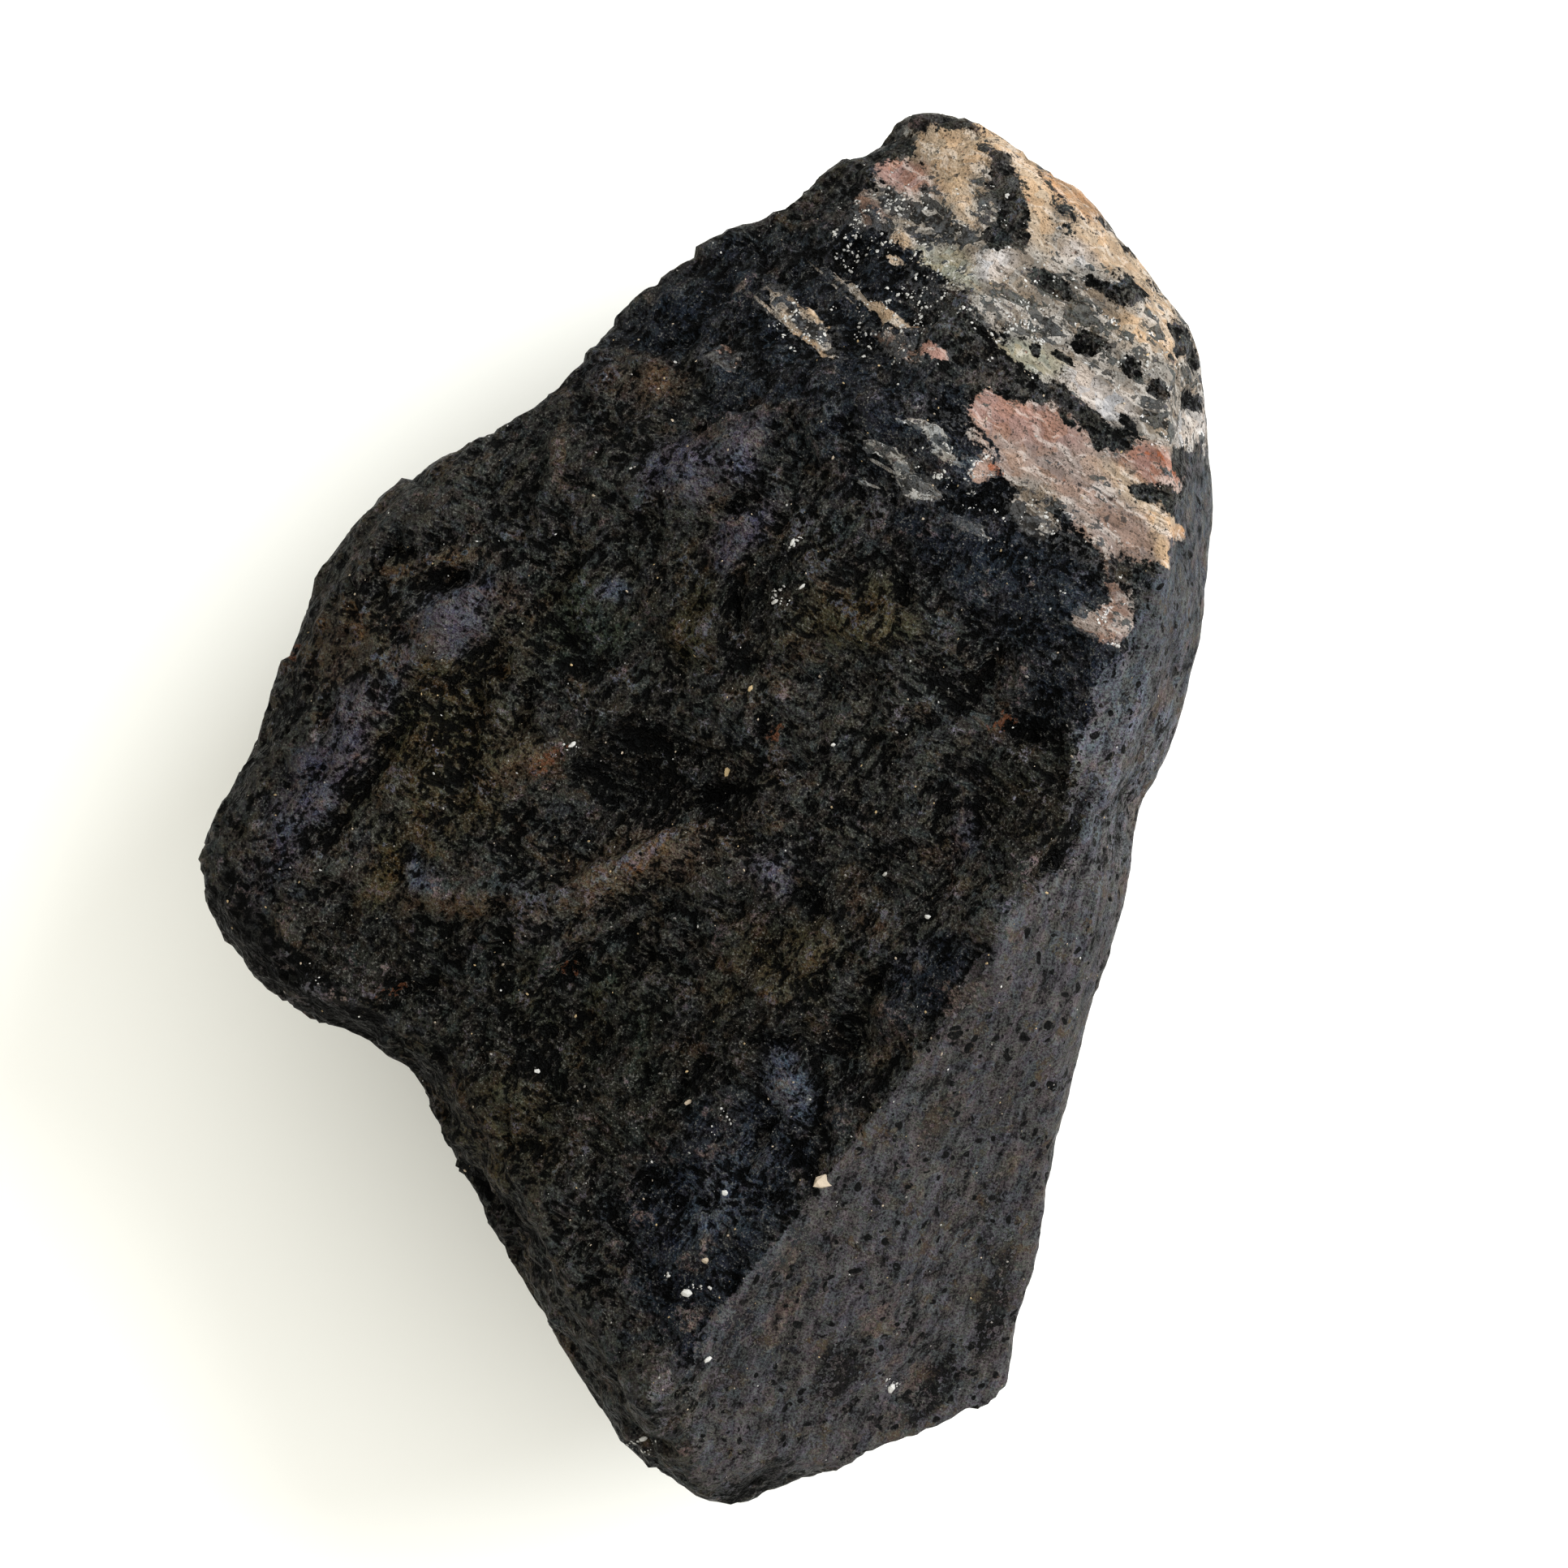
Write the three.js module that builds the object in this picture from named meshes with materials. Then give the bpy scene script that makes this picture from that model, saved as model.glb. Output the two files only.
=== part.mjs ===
// A hand-sized chunk of rough black tourmaline with a feldspar and quartz end, as one closed solid.
// Millimetres, +Z up. The stone lies on the worn flats of its underside at z = 0, and the origin is
// under the middle of its plan. +X runs across the stone and +Y along it, towards the feldspar.
//
// The stone is the space inside a set of limits: its plan outline, its broken and worn faces, and
// the plane it rests on. Lumps, hollows, ledges and a rough grain move the faces in and out. A ball
// of triangles is drawn onto that surface, evened out, and its edges are pulled onto the ridges.
import * as THREE from "three";
import { ImprovedNoise } from "three/addons/math/ImprovedNoise.js";
import { mergeVertices } from "three/addons/utils/BufferGeometryUtils.js";

const DEG = Math.PI / 180;
const CENTRE = new THREE.Vector3(2, -1, 13);

// The widest outline in plan, anticlockwise from the feldspar tip.
const OUTLINE = [
  [11.9, 36.0], [10.0, 35.7], [8.6, 34.2], [6.3, 33.4], [3.6, 30.9], [0.1, 29.2], [-4.3, 25.8],
  [-7.3, 22.2], [-11.5, 19.1], [-16.6, 16.3], [-19.9, 13.0], [-21.3, 9.7], [-23.3, 4.2],
  [-25.8, -1.6], [-26.1, -4.9], [-24.6, -7.4], [-22.0, -10.3], [-17.0, -12.6], [-14.7, -14.2],
  [-13.9, -16.8], [-11.6, -21.1], [-7.4, -28.3], [-4.2, -32.8], [-1.2, -35.2], [1.6, -36.0],
  [5.0, -35.1], [8.5, -33.3], [13.6, -31.6], [15.6, -30.7], [16.0, -27.2], [16.9, -23.3],
  [17.5, -19.6], [18.7, -14.1], [19.5, -11.0], [21.4, -4.4], [22.1, -0.1], [23.6, 2.6],
  [24.9, 7.3], [25.5, 11.8], [26.3, 15.8], [25.8, 19.1], [25.4, 22.5], [24.6, 25.4],
  [22.0, 28.4], [20.3, 30.5], [18.9, 32.0], [16.5, 33.0], [14.7, 34.8],
];

// A face leans `slope` degrees from level towards the compass angle `falls` (0 is +X, 90 is +Y);
// past 90 degrees it is an undercut. Upper and under faces pass through the point `at`.
const CREST_FACES = [
  { at: [0, 0, 27.8], falls: 195, slope: 6 }, // the broad top
  { at: [3.5, -12.4, 27.8], falls: 152, slope: 17.5 }, // rises from it to the crest
];
const UPPER_FACES = [
  { at: [3.5, -21.7, 29.3], falls: -42, slope: 40, rough: 0.35 }, // the worn grey face
  { at: [19.1, 4.2, 29.8], falls: -20, slope: 41, rough: 0.4 }, // its narrow run up the right side
  { at: [24.0, 7.5, 26.5], falls: 2, slope: 74, rough: 0.6 }, // the steep right flank
  { at: [12.5, 22.5, 28.6], falls: 42, slope: 23, rough: 0.8 }, // the feldspar end
  { at: [22.4, 26.6, 24.2], falls: 38, slope: 58, rough: 0.8 }, // its rim
  { at: [8.0, 29.0, 27.8], falls: 114, slope: 21, rough: 1 }, // the shoulder at the tip
  { at: [-4.2, 23.0, 27.8], falls: 128, slope: 50, rough: 1 }, // bevel of the long upper-left side
  { at: [-14.5, 14.0, 26.0], falls: 118, slope: 34, rough: 1 }, // the upper-left corner
  { at: [-17.0, 8.2, 26.2], falls: 168, slope: 24, rough: 1 }, // the left end
  { at: [-21.4, 6.0, 24.2], falls: 158, slope: 56, rough: 1 }, // its bevel
  { at: [-0.9, -34.4, 25.0], falls: 248, slope: 60, rough: 1 }, // the toe
  { at: [8.9, -33.4, 19.4], falls: -68, slope: 62, rough: 0.5 }, // the lower end's rim
];
const UNDER_FACES = [
  { at: [12.0, 17.0, 0.0], falls: 58, slope: 152 },
  { at: [-3.0, 20.0, 0.0], falls: 112, slope: 158 },
  { at: [-15.0, 1.0, 0.0], falls: 176, slope: 152 },
  { at: [-5.5, -19.0, 0.0], falls: 236, slope: 156 },
  { at: [6.5, -23.0, 0.0], falls: -72, slope: 151 },
  { at: [15.5, -3.0, 0.0], falls: -8, slope: 149 },
];
// A side face touches the outline at the height `waist`, and cuts `bite` into it there.
const SIDE_FACES = [
  { falls: 128, slope: 103, waist: 18, bite: 0.2 },
  { falls: 116, slope: 124, waist: 12, bite: 0.4 },
  { falls: 150, slope: 116, waist: 15, bite: 0.3 },
  { falls: 178, slope: 124, waist: 14, bite: 0.2 },
  { falls: 226, slope: 118, waist: 17, bite: 0.3 },
  { falls: 209, slope: 103, waist: 19, bite: 0.2 },
  { falls: 196, slope: 127, waist: 11, bite: 0.6 },
  { falls: 248, slope: 117, waist: 16, bite: 0.2 },
  { falls: -68, slope: 112, waist: 14, bite: 0.2 },
  { falls: -24, slope: 122, waist: 10, bite: 0.4 },
  { falls: -14, slope: 99, waist: 16, bite: 0.2 },
  { falls: 6, slope: 108, waist: 13, bite: 0.2 },
  { falls: 52, slope: 121, waist: 16, bite: 0.2 },
  { falls: 84, slope: 114, waist: 19, bite: 0.2 },
];

// Lumps (+) and hollows (-) of the upper side: plan centre, half length, half width, turn, height.
const RELIEF = [
  { x: -1.6, y: 1.6, long: 5.6, wide: 3.4, turn: 18, high: -1.1 }, // the deep middle hollow
  { x: 3.6, y: -0.4, long: 3.6, wide: 1.5, turn: 12, high: -0.6 }, // the slot below it
  { x: -9.0, y: 2.4, long: 3.6, wide: 1.2, turn: 24, high: 0.8 }, // rib left of the hollow
  { x: -1.0, y: -3.6, long: 6.4, wide: 2.1, turn: 24, high: 0.8 }, // rib under the hollow
  { x: -9.5, y: -6.2, long: 4.4, wide: 1.4, turn: 38, high: 0.7 }, // its run down to the left
  { x: -14.4, y: -1.8, long: 5.0, wide: 1.4, turn: 62, high: -0.7 }, // valley of the left end
  { x: -20.3, y: 3.4, long: 5.6, wide: 1.9, turn: 58, high: 0.7 }, // swelling of the left end
  { x: -13.6, y: 8.8, long: 3.6, wide: 2.2, turn: 30, high: 0.6 },
  { x: -15.2, y: 12.2, long: 2.8, wide: 1.4, turn: 20, high: -0.7 },
  { x: -6.4, y: 12.6, long: 4.4, wide: 2.6, turn: 30, high: -0.7 },
  { x: -0.6, y: 17.8, long: 3.6, wide: 2.6, turn: 66, high: 0.9 }, // lump of the upper middle
  { x: 4.7, y: 18.6, long: 2.6, wide: 1.7, turn: 100, high: -1.0 }, // hollow beside it
  { x: 1.4, y: 11.2, long: 4.6, wide: 1.3, turn: 68, high: 0.6 },
  { x: 8.6, y: 9.6, long: 4.0, wide: 2.2, turn: -12, high: 0.8 }, // the flat olive swelling
  { x: 11.0, y: 12.2, long: 1.8, wide: 1.0, turn: -62, high: -0.8 }, // crack at its edge
  { x: 13.9, y: 6.6, long: 2.6, wide: 1.3, turn: 64, high: -0.9 }, // the small step
  { x: 15.9, y: 3.8, long: 2.0, wide: 1.5, turn: 0, high: -1.2 }, // pit near the right side
  { x: 16.6, y: -1.2, long: 3.2, wide: 2.4, turn: 60, high: -1.0 }, // bowl behind the ridge
  { x: 12.6, y: -1.4, long: 2.6, wide: 1.4, turn: 80, high: -0.6 },
  { x: 3.8, y: -8.8, long: 5.4, wide: 2.2, turn: 30, high: 0.6 },
  { x: 7.8, y: -5.4, long: 2.4, wide: 1.3, turn: -30, high: 0.6 },
  { x: -5.6, y: -11.2, long: 4.0, wide: 1.8, turn: 52, high: -0.8 },
  { x: -8.2, y: -17.6, long: 4.4, wide: 2.4, turn: 56, high: 0.5 },
  { x: 6.4, y: -13.6, long: 2.8, wide: 1.3, turn: 60, high: -0.9 }, // shade behind the crest
  { x: -1.6, y: -15.4, long: 2.4, wide: 1.6, turn: 70, high: 0.6 },
  { x: 15.4, y: 27.4, long: 4.2, wide: 1.8, turn: 68, high: 0.6 }, // feldspar ribs
  { x: 12.8, y: 31.4, long: 2.6, wide: 1.6, turn: 60, high: 0.5 },
  { x: 17.6, y: 23.4, long: 3.2, wide: 1.1, turn: -24, high: -0.5 },
  { x: 19.4, y: 19.8, long: 3.4, wide: 1.4, turn: -28, high: 0.6 },
  { x: 6.2, y: 25.6, long: 3.8, wide: 1.3, turn: -44, high: -0.5 },
  { x: 8.6, y: -25.2, long: 6.0, wide: 3.0, turn: 72, high: 0.5 }, // belly of the worn face
  { x: 10.6, y: -29.4, long: 3.0, wide: 1.0, turn: 54, high: -0.5 }, // its scored groove
];
const RELIEF_FADE = [13, 18]; // heights between which the lumps and hollows fade in

// The rough grain, coarse to fine: spacing and height. It runs half as long again along Y.
const GRAIN = [
  { size: 8.5, high: 0.6 },
  { size: 3.9, high: 0.36 },
];
const GRAIN_STRETCH = 1.5;
const GRAIN_SEED = new THREE.Vector3(7.3, 2.9, 5.1);

// The broken sides step down in ledges, which fade out at the rim and near the rest plane.
const LEDGE = { pitch: 6.2, depth: 1, climb: 0.11, low: [2, 6], high: [17, 21] };
const LEDGE_WANDER = { size: 15, share: 1.4 };
const LEDGE_TREAD = 0.7; // the share of the pitch that slopes out before the ledge steps back
const WALL_ROUGHNESS = 0.5;
// The wall follows the outline between a foot and a shoulder, whose heights wander, and draws in
// by `lean` for each millimetre beyond them.
const SHOULDER = { high: 22.2, lean: 0.5 };
const FOOT = { high: 12, lean: 0.42 };
const WALL_WANDER = { size: 16, high: 3.4, seed: 3.1 };
const REST_HOLLOW = { size: 8, depth: 2, threshold: 0.02, seed: 8.4 }; // hollows between the flats

const MESH_DETAIL = 21; // splits of each edge of the icosahedron that makes the ball
const BALL = new THREE.Vector3(27, 37, 19); // half sizes of the ball before it is drawn in
const EVEN_ROUNDS = 26;
const RIDGE_ROUNDS = 4; // rounds of evening out once the ridges are set
const RIDGE_REACH = 0.62; // a corner moves at most this share of an edge to reach a ridge
const RIDGE_TURN = 14 * DEG; // faces that meet flatter than this make no ridge
const TINY = 0.01;

const noise = new ImprovedNoise();

function ease(low, high, value) {
  const t = THREE.MathUtils.clamp((value - low) / (high - low), 0, 1);
  return t * t * (3 - 2 * t);
}

// Plan radius of the outline from the centre, by compass angle.
function outlineRadii(steps = 1440) {
  const corners = OUTLINE.map(([x, y]) => new THREE.Vector3(x - CENTRE.x, y - CENTRE.y, 0));
  const ring = new THREE.CatmullRomCurve3(corners, true, "centripetal").getPoints(steps * 2);
  const radii = new Array(steps).fill(0);
  for (const p of ring) {
    const turn = Math.atan2(p.y, p.x) / (2 * Math.PI);
    radii[Math.floor((turn - Math.floor(turn)) * steps)] = Math.hypot(p.x, p.y);
  }
  for (let i = 1; i < steps * 2; i++) radii[i % steps] ||= radii[(i - 1) % steps];
  return radii;
}

const radii = outlineRadii();

function planRadius(x, y) {
  const turn = Math.atan2(y, x) / (2 * Math.PI);
  const place = (turn - Math.floor(turn)) * radii.length - 0.5;
  const before = Math.floor(place);
  const share = place - before;
  const first = radii[(before + radii.length) % radii.length];
  const second = radii[(before + 1) % radii.length];
  return first + share * (second - first);
}

// A flat face as a function of a point: the distance outside it, negative inside.
function flatFace({ at, falls, slope }) {
  const level = Math.sin(slope * DEG);
  const normal = new THREE.Vector3(
    level * Math.cos(falls * DEG),
    level * Math.sin(falls * DEG),
    Math.cos(slope * DEG),
  );
  const offset = normal.dot(new THREE.Vector3(...at));
  return (p) => normal.dot(p) - offset;
}

function sideFace(face) {
  const [x, y] = [Math.cos(face.falls * DEG), Math.sin(face.falls * DEG)];
  const reach = Math.max(...OUTLINE.map((corner) => corner[0] * x + corner[1] * y)) - face.bite;
  return flatFace({ ...face, at: [reach * x, reach * y, face.waist] });
}

const crestFaces = CREST_FACES.map(flatFace);
const otherFaces = [
  ...UPPER_FACES.map(flatFace),
  ...UNDER_FACES.map(flatFace),
  ...SIDE_FACES.map(sideFace),
];
const otherRoughness = [...UPPER_FACES, ...UNDER_FACES, ...SIDE_FACES].map(({ rough = 1 }) => rough);

const reliefTurns = RELIEF.map(({ turn }) => [Math.cos(turn * DEG), Math.sin(turn * DEG)]);

function relief(p) {
  const fade = ease(...RELIEF_FADE, p.z);
  if (fade === 0) return 0;
  let sum = 0;
  RELIEF.forEach(({ x, y, long, wide, high }, i) => {
    const [c, s] = reliefTurns[i];
    const along = ((p.x - x) * c + (p.y - y) * s) / long;
    const across = ((p.y - y) * c - (p.x - x) * s) / wide;
    sum += high * Math.exp(-along * along - across * across);
  });
  return fade * sum;
}

function grain(p) {
  let sum = 0;
  for (const { size, high } of GRAIN) {
    const place = new THREE.Vector3(p.x, p.y / GRAIN_STRETCH, p.z).divideScalar(size).add(GRAIN_SEED);
    sum += high * noise.noise(place.x, place.y, place.z);
  }
  return sum;
}

function ledges(p) {
  const fade = ease(...LEDGE.low, p.z) * (1 - ease(...LEDGE.high, p.z));
  const { size, share: sway } = LEDGE_WANDER;
  const wander = sway * noise.noise(p.x / size, p.y / size, p.z / size);
  const level = (p.z + LEDGE.climb * p.y) / LEDGE.pitch + wander;
  const share = level - Math.floor(level);
  const tread = share < LEDGE_TREAD ? share / LEDGE_TREAD : (1 - share) / (1 - LEDGE_TREAD);
  return -LEDGE.depth * fade * (1 - tread);
}

function wall(p) {
  const x = p.x - CENTRE.x;
  const y = p.y - CENTRE.y;
  const { size, high, seed } = WALL_WANDER;
  const wander = high * noise.noise(x / size, y / size, seed);
  const above = Math.max(0, p.z - SHOULDER.high - wander);
  const below = Math.max(0, FOOT.high + wander - p.z);
  return Math.hypot(x, y) - planRadius(x, y) + SHOULDER.lean * above + FOOT.lean * below;
}

function restPlane(p) {
  const { size, depth, threshold, seed } = REST_HOLLOW;
  const hollow = depth * Math.max(0, noise.noise(p.x / size, p.y / size, seed) - threshold);
  return hollow - p.z;
}

// How far a point is outside each limit of the stone, negative inside.
function limits(p) {
  const rough = grain(p);
  const raised = relief(p);
  const values = otherFaces.map((distance, i) => distance(p) - raised - otherRoughness[i] * rough);
  values.push(Math.min(...crestFaces.map((distance) => distance(p))) - raised - rough);
  values.push(wall(p) - ledges(p) - WALL_ROUGHNESS * rough);
  values.push(restPlane(p));
  return values;
}

const outside = (p) => Math.max(...limits(p));

function bindingLimit(p) {
  const values = limits(p);
  return values.indexOf(Math.max(...values));
}

function slopeOf(value, p) {
  const step = 0.03;
  const slope = new THREE.Vector3();
  for (const axis of ["x", "y", "z"]) {
    const ahead = p.clone();
    const behind = p.clone();
    ahead[axis] += step;
    behind[axis] -= step;
    slope[axis] = (value(ahead) - value(behind)) / (2 * step);
  }
  return slope;
}

// The straight way from a point to the surface.
function ontoSurface(p) {
  const slope = slopeOf(outside, p);
  const move = THREE.MathUtils.clamp(-outside(p) / slope.lengthSq(), -1, 1);
  return p.clone().addScaledVector(slope, move);
}

// The way from a point onto the ridge where limits i and j meet, or null where there is none.
function wayToRidge(p, i, j) {
  const a = slopeOf((q) => limits(q)[i], p);
  const b = slopeOf((q) => limits(q)[j], p);
  if (a.angleTo(b) < RIDGE_TURN) return null;
  const values = limits(p);
  const aa = a.lengthSq();
  const bb = b.lengthSq();
  const ab = a.dot(b);
  const spread = aa * bb - ab * ab;
  const alongA = (values[j] * ab - values[i] * bb) / spread;
  const alongB = (values[i] * ab - values[j] * aa) / spread;
  return a.multiplyScalar(alongA).addScaledVector(b, alongB);
}

function linksOf(index, count) {
  const links = Array.from({ length: count }, () => new Set());
  for (let i = 0; i < index.count; i += 3)
    for (let k = 0; k < 3; k++) {
      links[index.getX(i + k)].add(index.getX(i + ((k + 1) % 3)));
      links[index.getX(i + k)].add(index.getX(i + ((k + 2) % 3)));
    }
  return links.map((set) => [...set]);
}

// Each free corner slides to the middle of its neighbours, then back onto the surface.
function evenOut(corners, links, rounds, held) {
  for (let round = 0; round < rounds; round++)
    for (let i = 0; i < corners.length; i++) {
      if (held.has(i)) continue;
      const middle = new THREE.Vector3();
      for (const near of links[i]) middle.add(corners[near]);
      middle.divideScalar(links[i].length);
      corners[i] = ontoSurface(corners[i].clone().lerp(middle, 0.6));
    }
}

// Wherever an edge of the mesh crosses a ridge, its nearer end moves onto the ridge.
function setRidges(corners, links) {
  const owners = corners.map(bindingLimit);
  const moves = [];
  links.forEach((near, i) => {
    for (const j of near) {
      if (owners[i] === owners[j]) continue;
      const way = wayToRidge(corners[i], owners[i], owners[j]);
      const length = corners[i].distanceTo(corners[j]);
      if (way && way.length() < RIDGE_REACH * length) moves.push({ i, j, way });
    }
  });
  moves.sort((a, b) => a.way.length() - b.way.length());
  const held = new Set();
  for (const { i, j, way } of moves) {
    if (held.has(i) || held.has(j)) continue;
    corners[i] = corners[i].clone().add(way);
    held.add(i);
  }
  return held;
}

// The first guess at a corner: where the line from the centre in its direction leaves the stone.
function firstPlace(direction) {
  const line = direction.clone().multiply(BALL).normalize();
  let near = 0;
  let far = BALL.length();
  while (far - near > TINY) {
    const middle = (near + far) / 2;
    if (outside(CENTRE.clone().addScaledVector(line, middle)) < 0) near = middle;
    else far = middle;
  }
  return CENTRE.clone().addScaledVector(line, near);
}

function stoneGeometry() {
  const ball = new THREE.IcosahedronGeometry(1, MESH_DETAIL);
  ball.deleteAttribute("normal");
  ball.deleteAttribute("uv");
  const geometry = mergeVertices(ball, 1e-4);
  const place = geometry.getAttribute("position");
  const links = linksOf(geometry.index, place.count);
  const corners = links.map((_, i) => firstPlace(new THREE.Vector3().fromBufferAttribute(place, i)));
  evenOut(corners, links, EVEN_ROUNDS, new Set());
  const ridge = setRidges(corners, links);
  evenOut(corners, links, RIDGE_ROUNDS, ridge);
  corners.forEach((p, i) => place.setXYZ(i, p.x, p.y, p.z < TINY ? 0 : p.z));
  geometry.computeBoundingBox();
  const middle = geometry.boundingBox.getCenter(new THREE.Vector3());
  geometry.translate(-middle.x, -middle.y, 0);
  geometry.computeVertexNormals();
  return geometry;
}

const stone = new THREE.Mesh(
  stoneGeometry(),
  new THREE.MeshStandardMaterial({ color: 0x24242a, roughness: 0.62, metalness: 0, flatShading: true }),
);
stone.name = "tourmaline_stone";

const part = new THREE.Group();
part.add(stone);

export default part;
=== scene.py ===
import math
import random
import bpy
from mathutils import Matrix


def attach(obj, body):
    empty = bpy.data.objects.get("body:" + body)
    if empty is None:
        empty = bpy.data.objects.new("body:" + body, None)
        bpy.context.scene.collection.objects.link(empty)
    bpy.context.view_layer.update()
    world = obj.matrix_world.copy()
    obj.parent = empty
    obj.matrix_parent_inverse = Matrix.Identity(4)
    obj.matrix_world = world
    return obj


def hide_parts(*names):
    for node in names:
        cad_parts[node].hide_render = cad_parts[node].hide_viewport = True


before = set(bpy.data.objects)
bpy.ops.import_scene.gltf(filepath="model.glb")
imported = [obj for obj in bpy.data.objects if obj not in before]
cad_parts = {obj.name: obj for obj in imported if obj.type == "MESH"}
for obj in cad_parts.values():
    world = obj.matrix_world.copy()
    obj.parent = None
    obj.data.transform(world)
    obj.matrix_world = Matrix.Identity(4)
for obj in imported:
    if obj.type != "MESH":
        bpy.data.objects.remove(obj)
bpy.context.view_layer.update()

from types import SimpleNamespace
import bmesh
import bpy
import numpy as np
from mathutils import Matrix, Vector, noise
from mathutils.bvhtree import BVHTree

mm = 0.001

# Places on the stone are in millimetres on the plan that is seen from straight above. The eye is
# `eye["high"]` over the floor, so what stands nearer to it spreads outwards on that plan.
eye = {
    "over": (4.06, 1.27), "high": 600,
    "focusHigh": 20,        # the plan lies at this height
    "faceHigh": 26,         # and the broken face at about this one
    "wide": 81.14,          # how much of the plan the eye takes in
}

stoneForm = {
    "cuts": 3,
    "smoothRounds": 4,
    "restFade": (0.05, 0.5),  # the relief starts at this height and is whole so much higher up
    "chipSizes": [(3.8, 0.12), (1.7, 0.13)],  # size of the fracture chips, tilt
    "lump": (4.6, 0.36, 0.6),  # size, height, how much of it wear takes away
    "groove": (3.0, 0.24, 5),  # size, depth, how narrow
    "grooveWander": (4, 1.2),  # size, reach
    "chipWander": 0.35,     # reach, against the chip's size
    "grit": (0.85, 0.13, 0.55),  # size, height, how much of it wear takes away
    "gritLayers": (0.7, 2.1, 3),  # how fast they weaken, how much finer each is, how many
    "fibres": [(0.6, 0.12, 3.2), (1.8, 0.30, 3.0)],  # size, height, how many times longer
    "fibreTurns": (48, -34),  # on the main face, near the feldspar
    "fibreChange": (0.45, 20, 10),  # where the one gives way to the other, start included: slant, line, width
    "fibreUpright": 0.6,    # the part of a place's height that they read
    "paleLoss": (0.95, 0.35),  # how much of the grooves and of the chips the feldspar lacks
    "wearLoss": 0.86,       # how much of the chips, grooves and fibres wear takes away
    "wallShare": 0.55,      # how much of the relief the walls get
    "seed": 8,
    "start": Vector((3.1, 7.7, 1.9)),  # where the relief's pattern is read from
    "topFacing": (0.02, 0.3),  # how far up a surface faces: wall, top
    "topHigh": (9, 15),     # and how high it lies
    "topSoftRounds": 14,
    "levelRounds": (1, 7, 40),  # how wide the neighbourhoods are that the relief's painted highlight and painted shade are read from
    "crestWalls": 0.2,      # how much of the crest's painted highlight and painted shade the walls get
    # the feldspar's body on the walls: which way it lies, how far along it starts, how soon it is full,
    # how far its rim is held back
    "paleEnd": ((0.85, 0.52, -0.06), 26.8, 5, 0.25),
    "paleTop": (0.25, 0.75),  # where the top's own spots take over from that body
    "foldGrowth": (1.2, 1.5, 1.35),  # length, width and height of the folds, against their list
    "rimWander": ((2.3, 0.55), (0.8, 0.22)),  # of every spot's rim: size and reach, coarse and fine
    "stainWander": ((2.1, 0.9), (0.8, 0.5)),
    # how strongly a spot outweighs the ground, how hard its rim is
    "mineralBlend": (8, 3.5),
    "mixedBlend": (12, 3.5),
    "stainBlend": (18, 2.2, 6),  # and how far large and small ones count the same
    "mixedGround": (0.55, 0.35),  # the dark mixed in between the spots, and how much more on the walls
    "hollowShadeDepth": 0.9,      # how dark the hollows are painted as painted shade, for each millimetre of their depth
    "sootHigh": (7, 11),    # there is no soot or painted shade low on the walls
}

wornForm = {
    # a point on each worn face, the compass angle it falls to, its slope
    "faces": [((3.8, -21.6, 29.3), -42, 40), ((19.4, 4.3, 29.8), -20, 41), ((24.3, 7.6, 26.5), 2, 74)],
    "waver": (1.7, 0.5),    # size and reach of the rim's unevenness
    "away": (0.2, 1.5),     # distance from the face: worn, unworn
    "facing": (0.66, 0.95),  # how far a surface faces its way: unworn, worn
    # the right-hand side: which way it faces, how far a surface faces that way, its wear
    "side": ((0.978, -0.208, 0.0), (0.40, 0.75), 0.8),
    "sideEnds": ((-31, -27), (13, 18), (4, 10)),  # y where it starts, y where it ends, height
    # the strip narrows towards the feldspar: where its inner edge runs, as y and x
    "inner": [
        (-9, 0), (-7.1, 14.9), (-4.6, 17.0), (-2.2, 19.0), (2.9, 19.4), (6.4, 20.9), (8.2, 22.1),
        (10.8, 23.1), (13.3, 24), (20, 26),
    ],
    "innerFade": (-1.3, 0.4),
}

mineral = {
    "cream": (0.400, 0.290, 0.194),
    "tan": (0.33, 0.190, 0.100),
    "pink": (0.285, 0.162, 0.132),
    "palePink": (0.218, 0.150, 0.122),
    "white": (0.37, 0.335, 0.315),
    "greyCream": (0.172, 0.143, 0.114),
    "greenGrey": (0.25, 0.235, 0.175),
    "dullPink": (0.16, 0.105, 0.085),
    "rose": (0.27, 0.140, 0.108),
    "grey": (0.17, 0.170, 0.165),
}

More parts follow.
